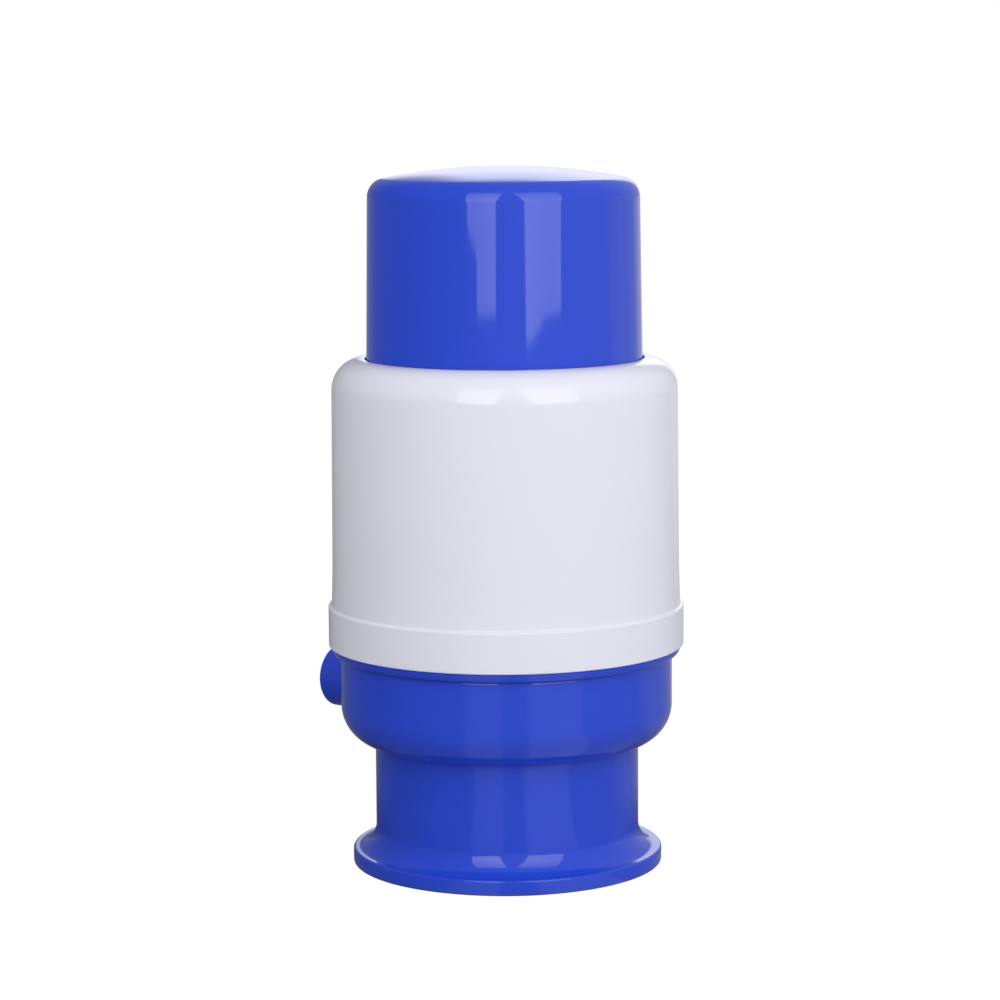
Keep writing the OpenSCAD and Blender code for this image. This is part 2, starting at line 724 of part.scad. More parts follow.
module press_plate() {
    locate_r = cap_in_r - seat_gap;
    color(WHITE) difference() {
        union() {
            turned([
                [0, z_press], [guide_in_r, z_press], [guide_in_r, z_press - guide_h],
                [guide_r - chamfer, z_press - guide_h], [guide_r, z_press - guide_h + chamfer],
                [guide_r, z_press], [clamp_r - chamfer, z_press], [clamp_r, z_press + chamfer],
                [clamp_r, z_press_top], [locate_r, z_press_top], [locate_r, z_post - chamfer],
                [locate_r - chamfer, z_post], [locate_r - guide_wall, z_post],
                [locate_r - guide_wall, z_press_top], [0, z_press_top]
            ]);
            ring(post_count) translate([post_circle_r, 0, z_press + seat_t / 2])
                cylinder(r = post_r, h = z_post - z_press - seat_t / 2);
        }
        seat_cut(z_press);
        ring(post_count) translate([post_circle_r, 0, z_press - overrun])
            cylinder(r = screw_hole_r, h = z_post - z_press + 2 * overrun);
    }
}

module press_plate_screws() {
    color(STEEL) ring(post_count) translate([post_circle_r, 0, z_press])
        mirror([0, 0, 1]) screw(z_post - z_press + thread_h - seat_gap);
}

// Radius of the domed top, which runs into the edge's rounding without a break
crown_x = cap_top_r - cap_corner_r;
crown_d = crown_h + cap_corner_r;
crown_r = (pow(crown_x, 2) + pow(crown_d, 2) - pow(cap_corner_r, 2)) / (2 * crown_h);
crown_a = atan2(crown_r - crown_d, crown_x);

// Edge and dome of the cap, set in by inset, from the wall to the axis
function crown_line(inset) =
    concat(
        arc(crown_x, z_cap_corner, cap_corner_r - inset, 0, crown_a),
        [for (i = [1:arc_steps]) let (a = crown_a + (90 - crown_a) * i / arc_steps)
            [(crown_r - inset) * cos(a), z_crown - crown_r + (crown_r - inset) * sin(a)]]
    );

module press_cap() {
    post_top = z_cap_edge - cap_wall / 2;
    wall_x = cap_top_r - cap_wall / 2;
    color(BLUE) difference() {
        union() {
            turned(concat(
                [[cap_in_r, z_lip], [lip_r - chamfer, z_lip], [lip_r, z_lip + chamfer]],
                [[lip_r, z_lip_top - chamfer], [lip_r - chamfer, z_lip_top], [cap_low_r, z_lip_top]],
                crown_line(0),
                reversed(crown_line(cap_wall))
            ));
            ring(post_count) {
                translate([post_circle_r, 0, z_post]) cylinder(r = post_r, h = post_top - z_post);
                translate([post_circle_r, -post_rib_t / 2, z_post])
                    cube([wall_x - post_circle_r, post_rib_t, z_cap_corner - z_post]);
            }
        }
        ring(post_count) translate([post_circle_r, 0, z_post - overrun])
            cylinder(r = pilot_r, h = thread_h + 2 * overrun);
        ring(post_count, 180 / post_count) translate([cap_in_r - overrun, -vent_w / 2, z_collar])
            cube([cap_wall + 2 * overrun, vent_w, vent_h]);
    }
}

// White shell

module body_shell() {
    collar_r = mouth_r + collar_wall;
    shoulder_x = shell_top_r - shoulder_r;
    shoulder_z = z_shoulder - shoulder_r;
    inner_r = shoulder_r - shell_wall;
    collar_a = acos(max(0, min(1, (collar_r - shoulder_x) / inner_r)));
    edge_r = mouth_r + band_gap;
    edge_a = acos(max(0, edge_r - shoulder_x) / shoulder_r);
    edge_z = shoulder_z + shoulder_r * sin(edge_a);
    color(WHITE) turned(concat(
        [[band_in_r + chamfer, z_band]],
        arc(band_r - band_edge_r, z_band + band_edge_r, band_edge_r, -90, 0),
        arc(band_r - band_edge_r, z_band_top - band_edge_r, band_edge_r, 0, 90),
        [[shell_low_r + chamfer, z_band_top], [shell_low_r, z_band_top + chamfer]],
        arc(shoulder_x, shoulder_z, shoulder_r, 0, edge_a),
        [[edge_r, edge_z], [mouth_r, edge_z - band_gap]],
        [[mouth_r, z_collar], [collar_r, z_collar]],
        arc(shoulder_x, shoulder_z, inner_r, collar_a, 0),
        [[shell_low_r - shell_wall, z_spigot], [band_in_r, z_spigot]],
        snap(band_in_r, z_snap, snap_rise, snap_half, -1),
        [[band_in_r, z_band + chamfer]]
    ));
}

base_housing();
neck_grip();
neck_gasket();
spout_seal();
valve_plate();
plate_seal();
outlet_valve();
bellows();
clamp_ring();
clamp_ring_screws();
return_spring();
press_plate();
press_plate_screws();
intake_valve();
press_cap();
body_shell();
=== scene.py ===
"""Looks of a water jug hand pump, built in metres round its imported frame.

The origin is on the pump's axis, in the plane of the flange's underside. +Z is up and the spout socket
points along -X. Each sub-assembly is a class that holds its sizes and builds, dresses and places its pieces.
"""

import json
import logging
import math
from dataclasses import dataclass
from enum import Enum
from typing import Optional, Sequence, Union

import bpy
import numpy as np
from mathutils import Matrix

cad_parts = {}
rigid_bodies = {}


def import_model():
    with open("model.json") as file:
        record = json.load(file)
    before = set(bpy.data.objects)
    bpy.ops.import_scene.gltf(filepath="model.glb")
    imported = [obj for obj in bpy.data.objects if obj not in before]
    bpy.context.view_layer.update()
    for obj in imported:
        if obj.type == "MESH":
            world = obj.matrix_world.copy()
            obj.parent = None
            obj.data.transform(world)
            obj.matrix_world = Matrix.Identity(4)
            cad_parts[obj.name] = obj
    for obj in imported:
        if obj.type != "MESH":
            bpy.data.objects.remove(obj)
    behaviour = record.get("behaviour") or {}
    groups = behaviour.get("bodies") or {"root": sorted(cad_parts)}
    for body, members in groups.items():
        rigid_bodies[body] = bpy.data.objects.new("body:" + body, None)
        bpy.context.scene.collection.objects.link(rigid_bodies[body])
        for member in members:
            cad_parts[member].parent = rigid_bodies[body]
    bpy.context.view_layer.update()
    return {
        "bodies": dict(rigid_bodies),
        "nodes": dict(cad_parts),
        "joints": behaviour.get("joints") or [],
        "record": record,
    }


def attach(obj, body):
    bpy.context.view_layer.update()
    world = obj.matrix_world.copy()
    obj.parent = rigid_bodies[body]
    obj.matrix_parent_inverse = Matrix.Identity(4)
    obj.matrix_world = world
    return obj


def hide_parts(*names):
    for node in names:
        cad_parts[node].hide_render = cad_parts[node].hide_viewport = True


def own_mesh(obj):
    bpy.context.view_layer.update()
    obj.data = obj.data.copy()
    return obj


MM = 0.001
TURN = 2 * math.pi
UP = np.array([0, 0, 1.0])
# Largest distance between a drawn facet and its arc
SAGITTA = 0.004 * MM
# Facets round the outer pieces, the bellows, the inner pieces, the bosses and screw heads, and small holes
FINE = 192
FOLDED = 144
COARSE = 96
SMALL = 48
TINY = 32
# Roundings of moulded edges
CRISP = 0.1 * MM
SLIGHT = 0.2 * MM
SOFT = 0.3 * MM
BROAD = 0.4 * MM
FULL = 0.5 * MM
# Distance by which a cut runs past the face that it meets
OVERRUN = 1.0 * MM
# Sizes at which pieces of two sub-assemblies meet: the spout socket's axis, the gasket's two faces, the
# cap's face on the bellows, the screws between plate and cup, their pilot holes, and the snap beads
SOCKET_Z = 42.22 * MM
GASKET_TOP = 31.6 * MM
GASKET_LOW = 28.6 * MM
BELLOWS_TOP = 120.8 * MM
SCREW_CIRCLE = 30.5 * MM
SCREW_COUNT = 6
PILOT_R = 1.35 * MM
SNAP_RISE = 0.5 * MM
SNAP_HALF = 0.8 * MM
# Points closer to the axis than this are on it
ON_AXIS = 1e-7
PURE_WHITE = (1, 1, 1, 1)

log = logging.getLogger("hand_pump")


class Body(Enum):
    """The pump's moving bodies."""

    PUMP = "pump_body"
    BUTTON = "press_button"
    INTAKE = "intake_flap"
    OUTLET = "outlet_flap"


class Slot(Enum):
    """The record's material slots."""

    BLUE = "blue_moulding"
    WHITE = "white_moulding"
    INNER = "inner_white"
    NATURAL = "natural_plastic"
    SILICONE = "silicone"
    BELLOWS = "bellows_plastic"
    STEEL = "steel"


# Sections

def around(count: int) -> np.ndarray:
    """Even angles all round, in radians from 0."""
    return np.arange(count) * TURN / count


def arc(r: float, z: float, radius: float, start: float, end: float) -> np.ndarray:
    """Corners on an arc: centre plus radius times cosine and sine of an angle that grows evenly.

    Args:
        r: Distance of the arc's centre from the axis.
        z: Height of the arc's centre.
        radius: Radius of the arc.
        start: First angle in degrees, counted from straight outwards.
        end: Last angle in degrees.

    Returns:
        Rows of radius, height and a rounding of zero.
    """
    sweep = abs(math.radians(end - start))
    count = 2 + math.ceil(sweep / math.sqrt(8 * SAGITTA / radius))
    angle = np.radians(np.linspace(start, end, count))
    return np.column_stack([r + radius * np.cos(angle), z + radius * np.sin(angle), np.zeros(count)])


def outline(*parts: Sequence) -> np.ndarray:
    """Closed section from its corners, each rounded by an arc that touches both its sides.

    At a corner whose sides run along the unit vectors a and b, the arc's ends lie at the rounding over
    the tangent of half the angle between them, and its centre at the rounding over the sine of that half,
    along a + b. The points between the ends u and v are (sin((1-t)w) u + sin(tw) v) / sin(w).

    Args:
        parts: Lists of corners, each a radius, a height and a rounding.

    Returns:
        The section's points, one radius and height a row.
    """
    corners = np.vstack([np.asarray(part, float).reshape(-1, 3) for part in parts])
    place, rounding = corners[:, :2], corners[:, 2]
    back = np.roll(place, 1, axis=0) - place
    ahead = np.roll(place, -1, axis=0) - place
    back /= np.linalg.norm(back, axis=1, keepdims=True)
    ahead /= np.linalg.norm(ahead, axis=1, keepdims=True)
    half = np.arccos(np.clip((back * ahead).sum(axis=1), -1, 1)) / 2
    sweep = np.maximum(math.pi - 2 * half, ON_AXIS)
    facet = np.sqrt(8 * SAGITTA / np.maximum(rounding, SAGITTA))
    count = np.where(rounding > 0, 2 + np.ceil(sweep / facet), 1).astype(int)
    reach = (rounding / np.tan(half))[:, None]
    middle = back + ahead
    middle /= np.maximum(np.linalg.norm(middle, axis=1, keepdims=True), ON_AXIS)
    centre = place + middle * (rounding / np.sin(half))[:, None]
    index = np.repeat(np.arange(len(place)), count)
    step = np.arange(count.sum()) - (np.cumsum(count) - count)[index]
    share = (step / np.maximum(count - 1, 1)[index])[:, None]
    whole = sweep[index][:, None]
    first = (place + back * reach - centre)[index]
    last = (place + ahead * reach - centre)[index]
    swing = (np.sin((1 - share) * whole) * first + np.sin(share * whole) * last) / np.sin(whole)
    return centre[index] + swing


def circle(r: float, z: float, radius: float, count: int = TINY) -> np.ndarray:
    """Closed round section: centre plus radius times the cosine and sine of even angles."""
    angle = around(count)
    return np.column_stack([r + radius * np.cos(angle), z + radius * np.sin(angle)])


def leftward(section: np.ndarray) -> np.ndarray:
    """A closed section with its points in the sense in which its inside lies to the left.

    Twice the area is the sum of x z' - x' z over neighbours, which is positive in that sense.

    Args:
        section: Points of the section, in either sense.

    Returns:
        The same points, in their own order or reversed.
    """
    after = np.roll(section, -1, axis=0)
    area = (section[:, 0] * after[:, 1] - after[:, 0] * section[:, 1]).sum()
    return section if area > 0 else section[::-1]


# Meshes

def filled(name: str, points: np.ndarray, corners: np.ndarray, sizes: np.ndarray) -> bpy.types.Mesh:
    """Mesh from its points and faces.

    Args:
        name: Name of the mesh.
        points: One point a row.
        corners: Corner indices of all the faces, one after another.
        sizes: Number of corners of each face.

    Returns:
        The new mesh, with its edges.
    """
    mesh = bpy.data.meshes.new(name)
    mesh.vertices.add(len(points))
    mesh.vertices.foreach_set("co", np.ascontiguousarray(points, np.float32).ravel())
    mesh.loops.add(len(corners))
    mesh.loops.foreach_set("vertex_index", corners.astype(np.int32))
    mesh.polygons.add(len(sizes))
    mesh.polygons.foreach_set("loop_start", (np.cumsum(sizes) - sizes).astype(np.int32))
    mesh.update(calc_edges=True)
    return mesh


def solid(name: str, points: np.ndarray, *faces: np.ndarray) -> bpy.types.Object:
    """Mesh object from its points and faces.

    Args:
        name: Name of the object and its mesh.
        points: One point a row.
        faces: Arrays of corner indices, one face a row.

    Returns:
        The new object, at the origin.
    """
    corners = np.concatenate([face.ravel() for face in faces])
    sizes = np.concatenate([np.full(len(face), face.shape[1]) for face in faces])
    mesh = filled(name, points, corners, sizes)
    mesh.validate()
    made = bpy.data.objects.new(name, mesh)
    bpy.context.scene.collection.objects.link(made)
    return made


def grid_faces(rows: int, columns: int, closed: bool) -> np.ndarray:
    """Four-cornered faces of a grid whose columns run round.

    Args:
        rows: Number of rows.
        columns: Number of points in a row.
        closed: Whether the last row joins the first.

    Returns:
        Corner indices, one face a row.
    """
    row = np.arange(rows if closed else rows - 1)[:, None]
    column = np.arange(columns)[None, :]
    here, after = row * columns, (row + 1) % rows * columns
    beside = (column + 1) % columns
    corners = [here + column, here + beside, after + beside, after + column]
    return np.stack(np.broadcast_arrays(*corners), axis=-1).reshape(-1, 4)


def pole_faces(pole: int, first: int, columns: int, downwards: bool) -> np.ndarray:
    """Triangles that close one end of a grid to a pole: the pole, then two neighbours of the end row.

    Args:
        pole: Index of the pole.
        first: Index of the end row's first point.
        columns: Number of points in the row.
        downwards: Whether the triangles face against the order of the rows.

    Returns:
        Corner indices, one face a row.
    """
    column = np.arange(columns)
    pair = [first + column, first + (column + 1) % columns]
    ordered = pair[::-1] if downwards else pair
    return np.column_stack([np.full(columns, pole), *ordered])


def rings(radius: np.ndarray, height: np.ndarray, sides: int) -> np.ndarray:
    """Points round the Z axis: x = r cos a, y = r sin a, z = height, for even angles a.

    Args:
        radius: Radius of each ring, or of each of its points, one ring a row.
        height: Height of each ring, one a row.
        sides: Number of points on a ring.

    Returns:
        The points, by ring and place round it.
    """
    angle = around(sides)
    x, y = radius * np.cos(angle), radius * np.sin(angle)
    return np.stack([x, y, np.broadcast_to(height, x.shape)], axis=-1)


def capped(name: str, points: np.ndarray, start: Sequence[float], end: Sequence[float]) -> bpy.types.Object:
    """Tube over a grid of rings, closed by a fan of triangles from a pole to each end ring.

    Args:
        name: Name of the piece.
        points: Points of the tube, by ring and place round it.
        start: Pole of the first ring.
        end: Pole of the last ring.

    Returns:
        The closed tube.
    """
    count, sides = points.shape[:2]
    poles = count * sides
    return solid(
        name, np.vstack([points.reshape(-1, 3), [start, end]]),
        grid_faces(count, sides, False),
        pole_faces(poles, 0, sides, True),
        pole_faces(poles + 1, poles - sides, sides, False),
    )


def turned(name: str, section: np.ndarray, facets: int = FINE) -> bpy.types.Object:
    """Solid turned round the Z axis from its closed section.

    Args:
        name: Name of the piece.
        section: Points of the section, in either sense. Two of them may lie on the axis.
        facets: Number of facets round the axis.

    Returns:
        The solid, with a pole where the section meets the axis.
    """
    rows = leftward(section)
    axial = rows[:, 0] < ON_AXIS
    if not axial.any():
        points = rings(rows[:, :1], rows[:, 1:], facets).reshape(-1, 3)
        return solid(name, points, grid_faces(len(rows), facets, True))
    start = int(np.flatnonzero(axial & ~np.roll(axial, -1))[0])
    rows = np.roll(rows, -start, axis=0)
    points = rings(rows[1:-1, :1], rows[1:-1, 1:], facets)
    return capped(name, points, (0, 0, rows[0, 1]), (0, 0, rows[-1, 1]))


def rod(
    name: str, r: float, low: float, high: float,
    facets: int = COARSE, low_edge: float = 0.0, high_edge: float = 0.0,
) -> bpy.types.Object:
    """Round rod on the Z axis.

    Args:
        name: Name of the piece.
        r: Radius of the rod.
        low: Height of its lower end.
        high: Height of its upper end.
        facets: Number of facets round the axis.
        low_edge: Rounding at the lower end.
        high_edge: Rounding at the upper end.

    Returns:
        The rod.
    """
    corners = [(0, low, 0), (r, low, low_edge), (r, high, high_edge), (0, high, 0)]
    return turned(name, outline(corners), facets)


def swept(name: str, path: np.ndarray, radius: float, sides: int = 20) -> bpy.types.Object:
    """Round bar along a path: each ring is centre + radius (cos a side + sin a lift).

    The side is the path's direction crossed with Z, and the lift is the direction crossed with the side.

    Args:
        name: Name of the piece.
        path: Centres of the rings, one a row.
        radius: Radius of the bar.
        sides: Number of facets round the bar.

    Returns:
        The bar, with both ends closed.
    """
    along = np.gradient(path, axis=0)
    along /= np.linalg.norm(along, axis=1, keepdims=True)
    side = np.cross(along, UP)
    side /= np.linalg.norm(side, axis=1, keepdims=True)
    lift = np.cross(along, side)
    angle = around(sides)[None, :, None]
    ring = np.cos(angle) * side[:, None] + np.sin(angle) * lift[:, None]
    return capped(name, path[:, None] + radius * ring, path[0], path[-1])


def plate(name: str, section: np.ndarray, thickness: float) -> bpy.types.Object:
    """Flat plate whose section lies in the XZ plane: its points at y = -thickness/2 and +thickness/2.

    Args:
        name: Name of the piece.
        section: Points of the section, one x and z a row, in either sense.
        thickness: Thickness along Y.

    Returns:
        The plate.
    """
    rows = leftward(section)
    count = len(rows)
    front = np.column_stack([rows[:, 0], np.full(count, -thickness / 2), rows[:, 1]])
    back = front * [1, -1, 1]
    near = np.arange(count)
    beside = (near + 1) % count
    walls = np.column_stack([near, near + count, beside + count, beside])
    return solid(name, np.vstack([front, back]), near[None, :], (near[::-1] + count)[None, :], walls)


def slab(
    name: str, x: tuple[float, float], z: tuple[float, float], thickness: float, edge: float = 0.0
) -> bpy.types.Object:
    """Plate with a rectangular section.

    Args:
        name: Name of the piece.
        x: Its least and greatest x.
        z: Its least and greatest z.
        thickness: Thickness along Y.
        edge: Rounding of the four corners.

    Returns:
        The plate.
    """
    corners = [(x[0], z[0], edge), (x[1], z[0], edge), (x[1], z[1], edge), (x[0], z[1], edge)]
    return plate(name, outline(corners), thickness)


def laid(x: float, z: float) -> Matrix:
    """Matrix that lays a piece turned round Z along -X, its origin at x and z."""
    return Matrix.Translation((x, 0, z)) @ Matrix.Rotation(math.radians(-90), 4, "Y")


def moved(piece: bpy.types.Object, matrix: Matrix) -> bpy.types.Object:
    """Applies a matrix to a piece's mesh.

    Args:
        piece: The piece to move.
        matrix: The move.

    Returns:
        The same piece.
    """
    piece.data.transform(matrix)
    piece.data.update()
    return piece


def ringed(
    piece: bpy.types.Object, count: int, start: float = 0.0, step: Optional[float] = None
) -> bpy.types.Object:
    """Copies of a piece turned round the Z axis, as one mesh.

    Args:
        piece: The piece to copy. Its mesh is replaced.
        count: Number of copies.
        start: Angle of the first copy in degrees.
        step: Angle between copies in degrees, or an even share of a whole turn.

    Returns:
        The piece with all the copies in its mesh.
    """
    mesh = piece.data
    points = np.empty(len(mesh.vertices) * 3, np.float32)
    mesh.vertices.foreach_get("co", points)
    corners = np.empty(len(mesh.loops), np.int32)
    mesh.loops.foreach_get("vertex_index", corners)
    sizes = np.empty(len(mesh.polygons), np.int32)
    mesh.polygons.foreach_get("loop_total", sizes)
    angle = np.radians(start + np.arange(count) * (360 / count if step is None else step))[:, None]
    x, y, z = points.reshape(-1, 3).T
    copies = np.stack([
        np.cos(angle) * x - np.sin(angle) * y,
        np.sin(angle) * x + np.cos(angle) * y,
        np.broadcast_to(z, (count, len(z))),
    ], axis=-1).reshape(-1, 3)
    all_corners = (corners + np.arange(count)[:, None] * len(z)).ravel()
    piece.data = filled(piece.name, copies, all_corners, np.tile(sizes, count))
    bpy.data.meshes.remove(mesh)
    return piece


def combined(
    base: bpy.types.Object, joins: Sequence[bpy.types.Object] = (), cuts: Sequence[bpy.types.Object] = ()
) -> bpy.types.Object:
    """One closed mesh from a base, the solids joined to it and the solids cut from the result.

    Args:
        base: The piece that keeps its name.
        joins: Solids to join, which are used up.
        cuts: Solids to cut away, which are used up.

    Returns:
        The base with its new mesh.
    """
    steps = [(piece, "UNION") for piece in joins] + [(piece, "DIFFERENCE") for piece in cuts]
    for piece, operation in steps:
        modifier = base.modifiers.new(piece.name, "BOOLEAN")
        modifier.operation = operation
        modifier.solver = "MANIFOLD"
        modifier.object = piece
    bpy.context.view_layer.update()
    shown = base.evaluated_get(bpy.context.evaluated_depsgraph_get())
    mesh = bpy.data.meshes.new_from_object(shown)
    base.modifiers.clear()
    base.data = mesh
    for piece, _ in steps:
        bpy.data.objects.remove(piece)
    return base


def smoothed(piece: bpy.types.Object, angle: float = 38.0) -> bpy.types.Object:
    """Shades a piece smooth, with edges over an angle sharp and broad faces kept flat.

    Args:
        piece: The piece to shade.
        angle: Angle in degrees above which an edge stays sharp.

    Returns:
        The same piece.
    """
    piece.data.shade_smooth()
    piece.data.set_sharp_from_angle(angle=math.radians(angle))
    modifier = piece.modifiers.new("broad_faces", "WEIGHTED_NORMAL")
    modifier.keep_sharp = True
    return piece


# Shader maths

Operand = Union["Value", float]


class Value:
    """A number socket of a node tree. Arithmetic on it adds Math nodes."""

    def __init__(self, graph: "Graph", socket: bpy.types.NodeSocket) -> None:
        """Wraps a socket of the graph."""
        self.graph = graph
        self.socket = socket

    def _math(self, operation: str, *terms: Operand) -> "Value":
        """Value of one Math operation on the terms."""
        made = self.graph.node("ShaderNodeMath", {"operation": operation}, dict(enumerate(terms)))
        return Value(self.graph, made.outputs[0])

    def __add__(self, other: Operand) -> "Value":
        """Sum with another value or number."""
        return self._math("ADD", self, other)

    def __sub__(self, other: Operand) -> "Value":
        """Difference from another value or number."""
        return self._math("SUBTRACT", self, other)

    def __rsub__(self, other: float) -> "Value":
        """A number less this value."""
        return self._math("SUBTRACT", other, self)

    def __mul__(self, other: Operand) -> "Value":
        """Product with another value or number."""
        return self._math("MULTIPLY", self, other)

    __radd__ = __add__
    __rmul__ = __mul__

    def above(self, low: float) -> "Value":
        """The larger of this value and a number."""
        return self._math("MAXIMUM", self, low)

    def ramp(self, low: float, high: float) -> "Value":
        """Share of the way from one number to another, held between 0 and 1 and eased at both ends.

        Args:
            low: The number at which the share leaves 0.
            high: The number at which it reaches 1.

        Returns:
            The share.
        """
        made = self.graph.node(
            "ShaderNodeMapRange", {"interpolation_type": "SMOOTHSTEP"},
            {"Value": self, "From Min": low, "From Max": high},
        )
        return Value(self.graph, made.outputs["Result"])


class Direction:
    """A unit vector socket of a node tree."""

    def __init__(self, graph: "Graph", socket: bpy.types.NodeSocket) -> None:
        """Wraps a socket of the graph."""
        self.graph = graph
        self.socket = socket

    def share(self, axis: np.ndarray) -> Value:
        """Part of the direction that lies along an axis, from -1 to 1."""
        made = self.graph.vector("DOT_PRODUCT", self.socket, tuple(axis))
        return Value(self.graph, made.outputs["Value"])


class Graph:
    """The node tree of a material, a lamp or the world."""

    def __init__(self, owner: Union[bpy.types.Material, bpy.types.Light, bpy.types.World]) -> None:
        """Empties the owner's node tree, to be filled again.

        Args:
            owner: The material, lamp or world.
        """
        owner.use_nodes = True
        self.tree = owner.node_tree
        self.tree.nodes.clear()

    def node(
        self, kind: str, settings: Optional[dict] = None, inputs: Optional[dict] = None
    ) -> bpy.types.Node:
        """Adds one node.

        Args:
            kind: Type of the node.
            settings: Its properties, which are set first.
            inputs: Numbers, colours, values or sockets for its inputs, by name or place.

        Returns:
            The node.
        """
        made = self.tree.nodes.new(kind)
        for name, value in (settings or {}).items():
            setattr(made, name, value)
        for key, value in (inputs or {}).items():
            source = value.socket if isinstance(value, Value) else value
            if isinstance(source, bpy.types.NodeSocket):
                self.tree.links.new(source, made.inputs[key])
            else:
                made.inputs[key].default_value = source
        return made

    def vector(self, operation: str, *terms: Union[bpy.types.NodeSocket, Sequence[float]]) -> bpy.types.Node:
        """Adds one Vector Math node."""
        return self.node("ShaderNodeVectorMath", {"operation": operation}, dict(enumerate(terms)))

    def place(self, stretch: Sequence[float] = (1, 1, 1)) -> bpy.types.NodeSocket:
        """The piece's own coordinates, scaled along each axis."""
        source = self.node("ShaderNodeTexCoord").outputs["Object"]
        return self.node("ShaderNodeMapping", {}, {"Vector": source, "Scale": stretch}).outputs[0]

    def noise(self, scale: float, detail: float = 2.0, stretch: Sequence[float] = (1, 1, 1)) -> Value:
        """Smooth noise from 0 to 1 over the piece's own coordinates.

        Args:
            scale: Features in a metre.
            detail: Number of finer layers.
            stretch: Factor on the scale along each axis.

        Returns:
            The noise.
        """
        made = self.node(
            "ShaderNodeTexNoise", {}, {"Vector": self.place(stretch), "Scale": scale, "Detail": detail}
        )
        return Value(self, made.outputs[0])

    def tint(self, factor: Operand, first: Sequence[float], second: Sequence[float]) -> bpy.types.NodeSocket:
        """Mix of two colours.

        Args:
            factor: Share of the second colour.
            first: Colour at a share of 0.
            second: Colour at a share of 1.

        Returns:
            The mixed colour.
        """
        # The Mix node's colours are its inputs 6 and 7 and its output 2
        made = self.node(
            "ShaderNodeMix", {"data_type": "RGBA"}, {"Factor": factor, 6: (*first, 1), 7: (*second, 1)}
        )
        return made.outputs[2]

    def bump(self, height: Operand, depth: float) -> bpy.types.NodeSocket:
        """Normal of a surface whose height goes from 0 to a depth in metres."""
        made = self.node("ShaderNodeBump", {}, {"Height": height, "Distance": depth, "Strength": 1.0})
        return made.outputs[0]

    def glow(self, kind: str, strength: Value) -> bpy.types.NodeSocket:
        """Pure white light of a strength, from an Emission or a Background node."""
        return self.node(kind, {}, {"Color": PURE_WHITE, "Strength": strength}).outputs[0]

    def output(self, kind: str, surface: bpy.types.NodeSocket) -> None:
        """Leads a shader to the tree's output."""
        self.node(kind, {}, {"Surface": surface})


def shades(colour: Sequence[float], spread: float) -> tuple[Sequence[float], Sequence[float]]:
    """A darker and a lighter shade of a colour, each away from it by a share."""
    values = np.asarray(colour)
    return tuple(values * (1 - spread)), tuple(np.minimum(values * (1 + spread), 1))


# Finishes

@dataclass(frozen=True)
class Moulding:
    """Plain moulded plastic, with clouded colour, fine rubbing marks and a slight ripple of the mould.

    The colour goes between two shades with a broad noise. The roughness rises where a fine noise,
    drawn out round the piece, marks hairlines, and where a broader one marks wiped patches. The height
    is a noise of the ripple's size, or half of it and a share of fine grain. Each noise is given by its
    features in a metre, and each range by the noise at which a mark starts and the noise at which it is
    whole.
    """

    name: str
    colour: tuple[float, float, float]
    rough: float
    spread: float = 0.025
    cloud: float = 22.0
    wiped: float = 0.03
    hairline: float = 0.05
    ripple: float = 110.0
    ripple_depth: float = 0.004 * MM
    grain: float = 0.0
    grain_ripple: float = 0.5
    grain_scale: float = 2600.0
    hairline_scale: float = 600.0
    hairline_stretch: tuple[float, float, float] = (1, 1, 12)
    hairline_range: tuple[float, float] = (0.62, 0.74)
    wiped_scale: float = 60.0
    wiped_range: tuple[float, float] = (0.35, 0.75)
    ior: float = 1.5

    def material(self) -> bpy.types.Material:
        """Builds the node material.

        Returns:
            The new material.
        """
        made = bpy.data.materials.new(self.name)
        graph = Graph(made)
        clouds = graph.noise(self.cloud, detail=3.0)
        lines = graph.noise(self.hairline_scale, stretch=self.hairline_stretch).ramp(*self.hairline_range)
        wipe = graph.noise(self.wiped_scale, detail=4.0).ramp(*self.wiped_range)
        height = graph.noise(self.ripple, detail=1.0)
        if self.grain:
            height = height * self.grain_ripple + graph.noise(self.grain_scale) * self.grain
        shader = graph.node("ShaderNodeBsdfPrincipled", {}, {
            "Base Color": graph.tint(clouds, *shades(self.colour, self.spread)),
            "Roughness": wipe * self.wiped + lines * self.hairline + self.rough,
            "Normal": graph.bump(height, self.ripple_depth),
            "IOR": self.ior,
        })
        graph.output("ShaderNodeOutputMaterial", shader.outputs[0])
        return made


@dataclass(frozen=True)
class Steel:
    """Bright steel, drawn or rolled, with fine streaks in its gloss and blotches in its tint."""

    name: str
    colour: tuple[float, float, float] = (0.52, 0.53, 0.55)
    rough: float = 0.26
    stretch: tuple[float, float, float] = (1, 1, 0.2)
    streak_scale: float = 1400.0
    streak_gloss: float = 0.16
    streak_depth: float = 0.003 * MM
    blotch_scale: float = 180.0
    spread: float = 0.08

    def material(self) -> bpy.types.Material:
        """Builds the node material.

        Returns:
            The new material.
        """
        made = bpy.data.materials.new(self.name)
        graph = Graph(made)
        streaks = graph.noise(self.streak_scale, 3.0, self.stretch)
        blotch = graph.noise(self.blotch_scale)
        shader = graph.node("ShaderNodeBsdfPrincipled", {}, {
            "Base Color": graph.tint(blotch, *shades(self.colour, self.spread)),
            "Metallic": 1.0,
            "Roughness": streaks * self.streak_gloss + self.rough,
            "Normal": graph.bump(streaks, self.streak_depth),
        })
        graph.output("ShaderNodeOutputMaterial", shader.outputs[0])
        return made


